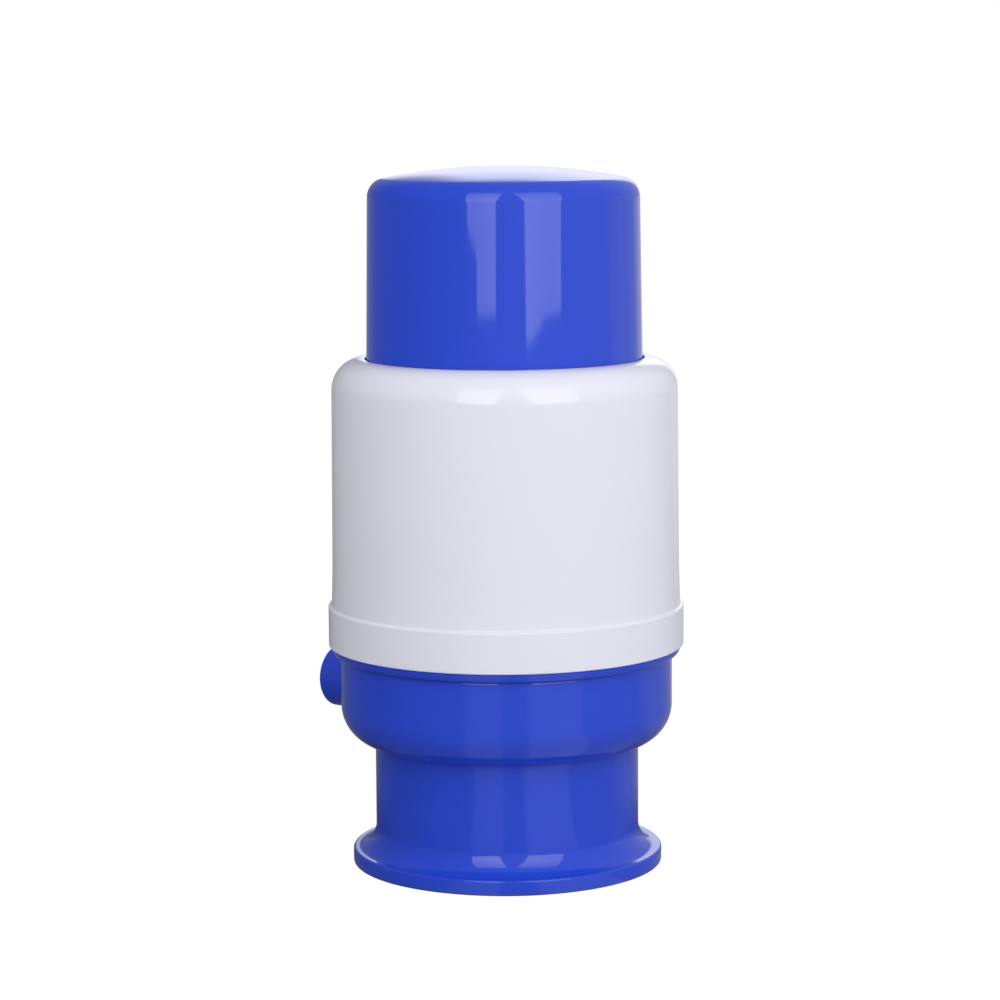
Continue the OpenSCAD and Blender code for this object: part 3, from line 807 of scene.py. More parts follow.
# Finish of each slot: its name, its colour, its roughness and what differs from a plain moulding
FINISHES = {
    Slot.BLUE: Moulding("blue_gloss", (0.018, 0.063, 0.62), 0.045, wiped=0.015, hairline=0.02),
    Slot.WHITE: Moulding("white_gloss", (0.79, 0.80, 0.90), 0.055, spread=0.012, wiped=0.02, hairline=0.02),
    Slot.INNER: Moulding("white_plain", (0.74, 0.75, 0.76), 0.38, grain=0.5),
    Slot.NATURAL: Moulding("natural_waxy", (0.66, 0.68, 0.67), 0.34, spread=0.05, grain=0.3),
    Slot.SILICONE: Moulding("silicone_soft", (0.46, 0.49, 0.52), 0.42, spread=0.04, grain=0.6),
    Slot.BELLOWS: Moulding("bellows_soft", (0.58, 0.60, 0.62), 0.4, spread=0.05, grain=0.4),
    Slot.STEEL: Steel("steel_bright"),
}


class Finishes:
    """The pump's materials, one for each slot of the record."""

    def __init__(self) -> None:
        """Builds every material."""
        self.of = {slot: finish.material() for slot, finish in FINISHES.items()}

    def dress(self, piece: bpy.types.Object, slot: Slot) -> None:
        """Puts a slot's material on every face of a piece, as its only one."""
        piece.data.materials.clear()
        piece.data.materials.append(self.of[slot])


@dataclass
class SubAssembly:
    """Pieces that are made, dressed and placed together."""

    finishes: Finishes

    def place(self, piece: bpy.types.Object, body: Body, slot: Slot, *nodes: str) -> bpy.types.Object:
        """Dresses a finished piece, hangs it on its body and lets it stand for its nodes.

        Args:
            piece: The finished piece.
            body: The body that carries it.
            slot: Its finish.
            nodes: The nodes of the frame that it stands for.

        Returns:
            The piece.
        """
        self.finishes.dress(piece, slot)
        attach(piece, body.value)
        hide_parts(*nodes)
        log.info("%s: %d faces on %s", piece.name, len(piece.data.polygons), body.value)
        return piece

    def keep(self, frame: dict, slot: Slot, *nodes: str) -> None:
        """Gives nodes of the frame that stay as they are their finish.

        Args:
            frame: The loaded frame.
            slot: The finish.
            nodes: Names of the nodes.
        """
        for name in nodes:
            self.finishes.dress(frame["nodes"][name], slot)
            log.info("%s: kept from the frame", name)


@dataclass
class BaseHousing(SubAssembly):
    """The blue moulding: flange, neck skirt, cup with its rim, spigot, spout socket and nipple.

    A name in _r is a radius, one in _z, _low or _top a height, and one in _lean, _turn, _end or _step an
    angle in degrees.
    """

    # Flange with a hollow fillet that goes over into a tighter foot
    flange_r: float = 40.1 * MM
    flange_t: float = 4.05 * MM
    flange_edge: float = 0.6 * MM
    flange_top_share: float = 0.96
    fillet: float = 6.7 * MM
    fillet_turn: float = 60.0
    fillet_foot: float = 2.4 * MM
    # Neck skirt with the groove that the grip's rim snaps into
    skirt_r: float = 34.1 * MM
    skirt_in: float = 31.8 * MM
    grip_snap_z: float = 3.2 * MM
    # Cup, whose wall leans out towards a groove under the rim
    floor_low: float = GASKET_TOP
    floor_top: float = 34.0 * MM
    cup_r: float = 42.85 * MM
    cup_corner: float = 10.0 * MM
    cup_wall: float = 3.0 * MM
    wall_round: float = 2.0 * MM
    wall_lean: float = 20.0
    rim_r: float = 45.1 * MM
    rim_round: float = 2.3 * MM
    rim_end: float = -4.0
    rim_edge: float = 0.12 * MM
    rim_top: float = 57.0 * MM
    rim_low: float = 54.85 * MM
    rim_gap: float = 0.25 * MM
    rim_gap_depth: float = 0.5 * MM
    # Spigot inside the shell, with its snap bead
    ledge: float = 56.8 * MM
    spigot_r: float = 43.2 * MM
    spigot_in: float = 41.0 * MM
    spigot_top: float = 66.0 * MM
    snap_rise: float = SNAP_RISE
    snap_half: float = SNAP_HALF
    edge: float = 0.25 * MM
    # Spout socket with its seal groove
    socket_z: float = SOCKET_Z
    socket_reach: float = 57.5 * MM
    socket_depth: float = 21.0 * MM
    socket_r: float = 8.31 * MM
    socket_bore: float = 6.15 * MM
    socket_edge: float = 0.5 * MM
    socket_lead: float = 0.5 * MM
    socket_blend: float = 1.2 * MM
    blend_rows: int = 14
    groove_r: float = 7.85 * MM
    groove_half: float = 0.9 * MM
    # Water duct, hub and dip tube nipple
    duct_r: float = 6.8 * MM
    duct_bore: float = 4.4 * MM
    hub_r: float = 7.8 * MM
    hub_edge: float = 1.0 * MM
    nipple_r: float = 4.75 * MM
    nipple_bore: float = 3.3 * MM
    nipple_tip: float = 12.0 * MM
    nipple_taper: float = 0.6 * MM
    nipple_taper_h: float = 2.0 * MM
    collar_r: float = 7.0 * MM
    collar_low: float = GASKET_LOW
    # Screw bosses, their webs, and the air holes to the jug
    boss_r: float = 3.6 * MM
    boss_circle: float = SCREW_CIRCLE
    boss_count: int = SCREW_COUNT
    web_t: float = 1.6 * MM
    pilot_r: float = PILOT_R
    pilot_low: float = 47.8 * MM
    air_hole_r: float = 2.0 * MM
    air_circle: float = 14.0 * MM
    air_holes: int = 5
    air_step: float = 60.0

    def section(self) -> np.ndarray:
        """Half section of flange, skirt, cup and spigot, from the inner foot round to the inside.

        Returns:
            The section's points.
        """
        turn = math.radians(self.fillet_turn)
        fillet_r = self.skirt_r + self.fillet
        foot_r = fillet_r - (self.fillet - self.fillet_foot) * math.cos(turn)
        foot_z = self.flange_t + self.fillet_foot
        fillet_z = foot_z + (self.fillet - self.fillet_foot) * math.sin(turn)
        corner_r = self.cup_r - self.cup_corner
        corner_a = math.degrees(math.acos((self.skirt_r - corner_r) / self.cup_corner))
        round_r = self.rim_r - self.rim_round
        round_a = math.degrees(math.asin((self.ledge - self.rim_low) / self.rim_round))
        gap_r = self.cup_r - self.rim_gap_depth
        gap_low = self.rim_low - self.rim_gap
        lean_z = gap_low - self.wall_round * math.sin(math.radians(self.wall_lean))
        inner_corner = self.cup_corner - self.cup_wall
        cup_in = self.cup_r - self.cup_wall
        snap_z = (self.rim_top + self.spigot_top) / 2
        snap_r, snap_half = self.spigot_r + self.snap_rise, self.snap_half
        grip_low, grip_top = self.grip_snap_z - snap_half, self.grip_snap_z + snap_half
        grip_r = self.skirt_in + self.snap_rise
        return outline(
            [(self.skirt_in, 0, self.edge), (self.flange_r, 0, self.flange_edge)],
            [(self.flange_r, self.flange_t, self.flange_top_share * self.flange_edge)],
            arc(foot_r, foot_z, self.fillet_foot, 270, 180 + self.fillet_turn),
            arc(fillet_r, fillet_z, self.fillet, 180 + self.fillet_turn, 180)[1:],
            arc(corner_r, self.floor_low + self.cup_corner, self.cup_corner, -corner_a, 0),
            arc(self.cup_r - self.wall_round, lean_z, self.wall_round, 0, self.wall_lean),
            [(gap_r, gap_low, 0), (gap_r, self.rim_low, 0)],
            arc(round_r, self.ledge, self.rim_round, -round_a, self.rim_end),
            [(self.rim_r, self.rim_top, self.rim_edge), (self.spigot_r, self.rim_top, CRISP)],
            [(self.spigot_r, snap_z - snap_half, SOFT), (snap_r, snap_z, BROAD)],
            [(self.spigot_r, snap_z + snap_half, SOFT), (self.spigot_r, self.spigot_top, BROAD)],
            [(self.spigot_in, self.spigot_top, self.edge), (self.spigot_in, self.ledge, CRISP)],
            [(cup_in, self.ledge, self.edge)],
            arc(cup_in - inner_corner, self.floor_top + inner_corner, inner_corner, 0, -90),
            [(0, self.floor_top, 0), (0, self.floor_low, 0), (self.skirt_in, self.floor_low, SOFT)],
            [(self.skirt_in, grip_top, SLIGHT), (grip_r, self.grip_snap_z, SLIGHT)],
            [(self.skirt_in, grip_low, SLIGHT)],
        )

    def wall_reach(self, side: np.ndarray, height: np.ndarray) -> np.ndarray:
        """Distance along X from the pump's axis to the cup's outside.

        Above its corner the cup's radius is constant. In the corner it is the centre's radius plus the
        root of the corner's radius squared less the drop squared. The distance is the root of that
        radius squared less the side offset squared.

        Args:
            side: Offsets along Y.
            height: Heights.

        Returns:
            The distances.
        """
        drop = np.maximum(self.floor_low + self.cup_corner - height, 0)
        radius = self.cup_r - self.cup_corner + np.sqrt(np.maximum(self.cup_corner**2 - drop**2, 0))
        return np.sqrt(radius**2 - side**2)

    def socket(self) -> bpy.types.Object:
        """Socket tube with a blend into the cup and a rounded mouth.

        A grid of distance along the tube and angle round it. In the blend, at a share s from 0 on the
        cup's wall to 1 clear of it, the radius is the tube's plus blend times 1 - root(1 - (1-s)^2), and
        the ring lies the share s of the blend outside the wall's own reach at that radius. The first
        ring lies inside the wall.

        Returns:
            The tube as a closed solid, not bored out yet.
        """
        angle = around(COARSE)
        share = np.linspace(0, 1, self.blend_rows)[:, None]
        blend_r = self.socket_r + self.socket_blend * (1 - np.sqrt(1 - (1 - share) ** 2))
        side = blend_r * np.sin(angle)
        height = self.socket_z + blend_r * np.cos(angle)
        reach = self.wall_reach(side, height) + share * self.socket_blend
        root = self.wall_reach(side[:1], height[:1]) - self.cup_wall / 2
        edge = self.socket_edge
        mouth = arc(self.socket_r - edge, self.socket_reach - edge, edge, 0, 90)
        reach = np.vstack([root, reach, np.broadcast_to(mouth[:, 1:2], (len(mouth), COARSE))])
        radius = np.vstack([blend_r[:1], blend_r, mouth[:, :1]])
        points = np.stack([-reach, radius * np.sin(angle), self.socket_z + radius * np.cos(angle)], axis=-1)
        start = (-float(root.mean()), 0, self.socket_z)
        return capped("socket_tube", points, start, (-self.socket_reach, 0, self.socket_z))

    def along_socket(self, piece: bpy.types.Object) -> bpy.types.Object:
        """Lays a piece turned round Z along the socket's axis, its heights counted towards -X."""
        return moved(piece, laid(0, self.socket_z))

    def bore(self) -> bpy.types.Object:
        """Everything bored out along the socket's axis: duct, socket bore, seal groove and mouth chamfer.

        Returns:
            The solid to cut.
        """
        start = -self.duct_bore / 2
        seat = self.socket_reach - self.socket_depth
        groove = self.socket_reach - self.socket_depth / 2
        low, high = groove - self.groove_half, groove + self.groove_half
        past = self.socket_reach + OVERRUN
        return self.along_socket(turned("socket_bore", outline(
            [(0, start, 0), (self.duct_bore, start, 0), (self.duct_bore, seat, SLIGHT)],
            [(self.socket_bore, seat, SOFT), (self.socket_bore, low, CRISP)],
            [(self.groove_r, low, SLIGHT), (self.groove_r, high, SLIGHT)],
            [(self.socket_bore, high, CRISP)],
            [(self.socket_bore, self.socket_reach - self.socket_lead, SLIGHT)],
            [(self.socket_bore + self.socket_lead + OVERRUN, past, 0), (0, past, 0)],
        ), COARSE))

    def nipple(self) -> bpy.types.Object:
        """Dip tube nipple with its stop collar and a tapered tip.

        Returns:
            The nipple as a closed solid, not bored out yet.
        """
        inside = (self.floor_low + self.floor_top) / 2
        return turned("nipple", outline(
            [(0, inside, 0), (self.collar_r, inside, 0), (self.collar_r, self.collar_low, SOFT)],
            [(self.nipple_r, self.collar_low, SOFT)],
            [(self.nipple_r, self.nipple_tip + self.nipple_taper_h, FULL)],
            [(self.nipple_r - self.nipple_taper, self.nipple_tip, SOFT), (0, self.nipple_tip, 0)],
        ), COARSE)

    def inner_parts(self) -> list[bpy.types.Object]:
        """Duct, hub and screw bosses with their webs, all inside the cup.

        Returns:
            The solids to join.
        """
        first = 180 / self.boss_count
        low = (self.floor_low + self.floor_top) / 2
        wall = self.cup_r - self.cup_wall / 2
        corner_r = self.cup_r - self.cup_corner
        sleeve_start = self.socket_reach - self.socket_depth - (self.duct_r - self.duct_bore)
        duct = rod("duct", self.duct_r, 0, wall)
        sleeve = rod("sleeve", self.socket_r, sleeve_start, wall, low_edge=BROAD)
        hub = rod("hub", self.hub_r, low, self.socket_z + self.hub_r, high_edge=self.hub_edge)
        saddle = slab("saddle", (-corner_r, 0), (low, self.socket_z), 2 * self.duct_r)
        boss = rod("bosses", self.boss_r, low, self.ledge, SMALL, high_edge=SLIGHT)
        boss = moved(boss, Matrix.Translation((self.boss_circle, 0, 0)))
        web_top = self.socket_z + self.socket_r
        web_corner = self.cup_corner - self.cup_wall / 2
        web = plate("webs", outline(
            [(self.boss_circle, web_top, 0), (self.boss_circle, low, 0)],
            arc(corner_r, self.floor_low + self.cup_corner, web_corner, -90, 0),
            [(wall, web_top, 0)],
        ), self.web_t)
        supports = [ringed(piece, self.boss_count, first) for piece in (boss, web)]
        return [self.along_socket(duct), self.along_socket(sleeve), hub, saddle, *supports]

    def holes(self) -> list[bpy.types.Object]:
        """Bores to cut: the socket's, the nipple's, the air holes and the screws' pilot holes.

        Returns:
            The solids to cut.
        """
        riser = rod("riser", self.nipple_bore, self.nipple_tip - OVERRUN, self.socket_z)
        air = rod("air_holes", self.air_hole_r, self.floor_low - OVERRUN, self.floor_top + OVERRUN, SMALL)
        air = moved(air, Matrix.Translation((self.air_circle, 0, 0)))
        pilot = rod("pilots", self.pilot_r, self.pilot_low, self.ledge + OVERRUN, TINY)
        pilot = moved(pilot, Matrix.Translation((self.boss_circle, 0, 0)))
        first = -self.air_step * (self.air_holes - 1) / 2
        return [
            self.bore(), riser, ringed(air, self.air_holes, first, self.air_step),
            ringed(pilot, self.boss_count, 180 / self.boss_count),
        ]

    def build(self) -> None:
        """Makes the housing and puts it in place of its node."""
        base = turned("housing_moulding", self.section())
        whole = combined(base, [self.socket(), self.nipple(), *self.inner_parts()], self.holes())
        self.place(smoothed(whole), Body.PUMP, Slot.BLUE, "base_housing")


@dataclass
class NeckSeals(SubAssembly):
    """Neck gasket and spout seal, round the grip that stays as it is."""

    gasket_in: float = 21.4 * MM
    gasket_r: float = 31.5 * MM
    gasket_low: float = GASKET_LOW
    gasket_top: float = GASKET_TOP
    line_rise: float = 0.5 * MM
    line_half: float = 0.8 * MM
    line_space: float = 2.525 * MM
    edge: float = 0.25 * MM
    socket_z: float = SOCKET_Z
    seal_x: float = -47.0 * MM
    seal_line_r: float = 7.0 * MM
    seal_r: float = 0.8 * MM

    def gasket(self) -> bpy.types.Object:
        """Flat ring with two raised sealing lines underneath.

        Returns:
            The ring.
        """
        low, half = self.gasket_low + self.line_rise, self.line_half
        middle = (self.gasket_in + self.gasket_r) / 2
        lines = [
            [(line - half, low, SLIGHT), (line, self.gasket_low, SOFT), (line + half, low, SLIGHT)]
            for line in (middle - self.line_space / 2, middle + self.line_space / 2)
        ]
        return turned("gasket_ring", outline(
            [(self.gasket_in, self.gasket_top, self.edge), (self.gasket_in, low, self.edge)],
            *lines,
            [(self.gasket_r, low, self.edge), (self.gasket_r, self.gasket_top, self.edge)],
        ))

    def build(self, frame: dict) -> None:
        """Makes the two seals and dresses the grip.

        Args:
            frame: The loaded frame.
        """
        self.place(smoothed(self.gasket()), Body.PUMP, Slot.SILICONE, "neck_gasket")
        ring = turned("spout_ring", circle(self.seal_line_r, 0, self.seal_r), COARSE)
        ring = moved(ring, laid(self.seal_x, self.socket_z))
        self.place(smoothed(ring), Body.PUMP, Slot.SILICONE, "spout_seal")
        self.keep(frame, Slot.NATURAL, "neck_grip")


@dataclass
class Umbrella:
    """Rubber umbrella valve that closes a seat from below, its stem up through the plate.

    Its disc hangs deepest round the axis, over a share of its radius, and curves up to a thin rim.
    """

    name: str
    seat_z: float
    seat_t: float = 2.6 * MM
    lift: float = 1.2 * MM
    gap: float = 0.1 * MM
    disc_r: float = 8.6 * MM
    rim_t: float = 0.7 * MM
    rim_edge: float = 0.15 * MM
    mid_t: float = 1.8 * MM
    mid_share: float = 0.5
    mid_rise: float = 0.2 * MM
    mid_round: float = 3.0 * MM
    stem_r: float = 1.6 * MM
    bulb_r: float = 2.6 * MM
    bulb_h: float = 2.4 * MM
    bulb_tip_share: float = 0.9

    def mesh(self) -> bpy.types.Object:
        """The valve turned from its section, with a thin curved disc and a rounded bulb.

        Returns:
            The valve.
        """
        face = self.seat_z - self.gap
        low, rim_low = face - self.mid_t, face - self.rim_t
        neck = self.seat_z + self.seat_t + self.lift + self.gap
        top = neck + self.bulb_h
        return smoothed(turned(self.name, outline(
            [(0, low, 0), (self.disc_r * self.mid_share, low + self.mid_rise, self.mid_round)],
            [(self.disc_r, rim_low, SOFT), (self.disc_r, face, self.rim_edge)],
            [(self.stem_r, face, BROAD), (self.stem_r, neck, SLIGHT), (self.bulb_r, neck, SOFT)],
            [(self.stem_r * self.bulb_tip_share, top, FULL), (0, top, 0)],
        ), COARSE))


@dataclass
class Screw:
    """Pan-head tapping screw with a cross recess, its head on the plane z = 0 and its shank below."""

    length: float
    shank_r: float = 1.25 * MM
    root_r: float = 0.92 * MM
    pitch: float = 1.0 * MM
    turn_rows: int = 12
    sides: int = 24
    sunk: float = 0.4 * MM
    crest_slope: float = 3.2
    fade_start: float = 0.6 * MM
    fade_length: float = 0.8 * MM
    tip_length: float = 2.5 * MM
    tip_share: float = 0.35
    tip_power: float = 0.7
    head_r: float = 2.7 * MM
    head_h: float = 1.6 * MM
    head_edge: float = 0.15 * MM
    dome_share: float = 0.55
    dome_round: float = 1.2 * MM
    recess_w: float = 0.55 * MM
    recess_reach: float = 1.45 * MM
    recess_depth: float = 1.05 * MM

    def shank(self) -> bpy.types.Object:
        """Threaded shank: a grid of height and angle.

        The phase is height over pitch less angle over a turn. The radius is the root's plus the thread's
        depth times a crest, which is 1 where the phase is half way between whole numbers and falls off
        to both sides with the crest's slope. It tapers to a share of itself at the tip, and the thread
        fades out under the head.

        Returns:
            The shank, sunk a little into the head.
        """
        rows = self.turn_rows * math.ceil(self.length / self.pitch)
        height = np.linspace(-self.length, self.sunk, rows)[:, None]
        phase = (height / self.pitch - around(self.sides) / TURN) % 1
        crest = np.clip(1 - self.crest_slope * np.abs(phase - 0.5), 0, 1)
        fade = np.clip((-height - self.fade_start) / self.fade_length, 0, 1)
        tip = np.clip((height + self.length) / self.tip_length, 0, 1) ** self.tip_power
        radius = self.root_r + (self.shank_r - self.root_r) * crest * fade
        points = rings(radius * (self.tip_share + (1 - self.tip_share) * tip), height, self.sides)
        return capped("shank", points, (0, 0, -self.length), (0, 0, self.sunk))

    def mesh(self, name: str) -> bpy.types.Object:
        """Head, shank and recess as one mesh.

        Args:
            name: Name of the piece.

        Returns:
            The screw.
        """
        head = turned(name, outline(
            [(0, 0, 0), (self.head_r, 0, self.head_edge)],
            [(self.head_r, self.head_h * self.dome_share, FULL)],
            [(self.head_r * self.dome_share, self.head_h, self.dome_round), (0, self.head_h, 0)],
        ), SMALL)
        above, floor = self.head_h + OVERRUN, self.head_h - self.recess_depth
        blade = outline(
            [(-self.recess_reach, above, 0), (-self.recess_w, floor, 0)],
            [(self.recess_w, floor, 0), (self.recess_reach, above, 0)],
        )
        blades = [
            moved(plate(f"blade_{turn}", blade, self.recess_w), Matrix.Rotation(math.radians(turn), 4, "Z"))
            for turn in (0, 90)
        ]
        return combined(head, [self.shank()], blades)


@dataclass
class BellowsUnit(SubAssembly):
    """Valve plate, seals, clamp ring, bellows and spring, all on the base's spigot."""

    # Bellows: clamped faces, ends of the folds, folds and lips
    low: float = 60.6 * MM
    high: float = BELLOWS_TOP
    neck_low: float = 65.4 * MM
    neck_high: float = 116.0 * MM
    folds: int = 7
    fold_r: float = 41.4 * MM
    root_r: float = 36.4 * MM
    flat: float = 1.6 * MM
    wall: float = 1.0 * MM
    crest_round: float = 1.0 * MM
    crest_round_in: float = 0.15 * MM
    root_round: float = 0.5 * MM
    root_round_in: float = 1.5 * MM
    neck_r: float = 40.0 * MM
    lip_r: float = 34.5 * MM
    lip_t: float = 2.0 * MM
    neck_cut: float = 0.4 * MM
    stroke: float = 40.0 * MM
    # Spring: wire, coil and its seats
    wire_r: float = 0.9 * MM
    coil_r: float = 14.0 * MM
    turns: float = 7.0
    turn_steps: int = 72
    spring_low: float = 61.6 * MM
    spring_high: float = 115.2 * MM
    end_pitch: float = 2.4 * MM
    # Seal, valve and screws
    seal_line_r: float = 40.15 * MM
    seal_r: float = 0.9 * MM
    seal_z: float = 58.7 * MM
    outlet_z: float = 58.0 * MM
    clamp_top: float = 64.6 * MM
    screw_circle: float = SCREW_CIRCLE
    screw_count: int = SCREW_COUNT
    screw_length: float = 16.7 * MM

    def fold_line(self, inset: float, crest_round: float, root_round: float) -> np.ndarray:
        """Corners of the folds between the two necks, set in by an amount.

        Fold i has its crest at height neck + (i + 1/2) pitch. Set in, its flats move along the slope:
        a crest's half width loses inset times tan(45 - slope/2), and a root's gains it.

        Args:
            inset: Distance inwards from the outside.
            crest_round: Rounding of the crests' corners.
            root_round: Rounding of the roots' corners.

        Returns:
            Rows of radius, height and rounding, from the first crest to the last.
        """
        pitch = (self.neck_high - self.neck_low) / self.folds
        slope = math.atan2(pitch / 2 - self.flat, self.fold_r - self.root_r)
        change = inset * math.tan(math.radians(45) - slope / 2)
        crest, root = self.flat / 2 - change, self.flat / 2 + change
        middle = self.neck_low + (np.arange(self.folds) + 0.5) * pitch
        valley = middle + pitch / 2
        height = np.column_stack([middle - crest, middle + crest, valley - root, valley + root])
        radius = np.tile([self.fold_r, self.fold_r, self.root_r, self.root_r], (self.folds, 1)) - inset
        rounding = np.tile([crest_round, crest_round, root_round, root_round], (self.folds, 1))
        return np.stack([radius, height, rounding], axis=-1).reshape(-1, 3)[:-2]

    def fold_wall(self) -> bpy.types.Object:
        """Thin folded wall with rounded crests and roots, between its two cut necks.

        Returns:
            The wall.
        """
        neck_in = self.neck_r - self.wall
        cut_low, cut_high = self.neck_low - self.neck_cut, self.neck_high + self.neck_cut
        return turned("bellows_folds", outline(
            [(neck_in, cut_low, 0), (self.neck_r, cut_low, 0), (self.neck_r, self.neck_low, BROAD)],
            self.fold_line(0, self.crest_round, self.root_round),
            [(self.neck_r, self.neck_high, BROAD), (self.neck_r, cut_high, 0)],
            [(neck_in, cut_high, 0), (neck_in, self.neck_high, SOFT)],
            self.fold_line(self.wall, self.crest_round_in, self.root_round_in)[::-1],
            [(neck_in, self.neck_low, SOFT)],
        ), FOLDED)

    def lip(self, name: str, end: float, cut: float) -> bpy.types.Object:
        """Clamped lip and the stiff part of its neck, an angle section from its end face to the cut.

        Args:
            name: Name of the piece.
            end: Height of the clamped face.
            cut: Height at which the folds take over.

        Returns:
            The lip.
        """
        neck_in = self.neck_r - self.wall
        seat = end + math.copysign(self.lip_t, cut - end)
        return turned(name, outline(
            [(self.lip_r, end, SOFT), (self.neck_r, end, FULL), (self.neck_r, cut, 0)],
            [(neck_in, cut, 0), (neck_in, seat, SOFT), (self.lip_r, seat, SOFT)],
        ), FOLDED)

    def spring(self) -> bpy.types.Object:
        """Coil spring with one close turn at each end.

        The wire's centre after t turns is at the coil's radius and angle 360 t. Its height is the sum of
        the close pitch over the end turns and the open pitch over the turns between them.

        Returns:
            The spring.
        """
        t = np.linspace(0, self.turns, int(self.turns * self.turn_steps) + 1)
        open_pitch = (self.spring_high - self.spring_low - 2 * self.end_pitch) / (self.turns - 2)
        ends = np.minimum(t, 1) + np.maximum(t - self.turns + 1, 0)
        height = self.spring_low + ends * self.end_pitch + np.clip(t - 1, 0, self.turns - 2) * open_pitch
        path = np.column_stack([self.coil_r * np.cos(t * TURN), self.coil_r * np.sin(t * TURN), height])
        return swept("return_coil", path, self.wire_r)

    def squeeze(self, piece: bpy.types.Object, low: float, high: float) -> None:
        """Gives a placed piece its own copy of its mesh.

        Args:
            piece: The placed piece.
            low: Height of its fixed end. Not used.
            high: Height of its other end. Not used.
        """
        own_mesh(piece)

    def build(self, frame: dict) -> None:
        """Makes the bellows, spring, seal, valve and screws, and dresses the plates.

        Args:
            frame: The loaded frame.
        """
        cut_low, cut_high = self.neck_low - self.neck_cut, self.neck_high + self.neck_cut
        folds = self.place(smoothed(self.fold_wall()), Body.PUMP, Slot.BELLOWS, "bellows")
        self.squeeze(folds, cut_low, cut_high)
        foot_lip = self.lip("bellows_foot_lip", self.low, cut_low)
        self.place(smoothed(foot_lip), Body.PUMP, Slot.BELLOWS, "bellows")
        head_lip = self.lip("bellows_head_lip", self.high, cut_high)
        self.place(smoothed(head_lip), Body.BUTTON, Slot.BELLOWS, "bellows")
        spring = self.place(smoothed(self.spring()), Body.PUMP, Slot.STEEL, "return_spring")
        self.squeeze(spring, self.spring_low - self.wire_r, self.spring_high + self.wire_r)
        ring = turned("plate_ring", circle(self.seal_line_r, self.seal_z, self.seal_r))
        self.place(smoothed(ring), Body.PUMP, Slot.SILICONE, "plate_seal")
        valve = Umbrella("outlet_umbrella", self.outlet_z).mesh()
        self.place(valve, Body.OUTLET, Slot.SILICONE, "outlet_valve")
        screw = Screw(self.screw_length).mesh("clamp_screw_set")
        screw = moved(screw, Matrix.Translation((self.screw_circle, 0, self.clamp_top)))
        screws = ringed(screw, self.screw_count, 180 / self.screw_count)
        self.place(smoothed(screws), Body.PUMP, Slot.STEEL, "clamp_ring_screws")
        self.keep(frame, Slot.INNER, "valve_plate", "clamp_ring")


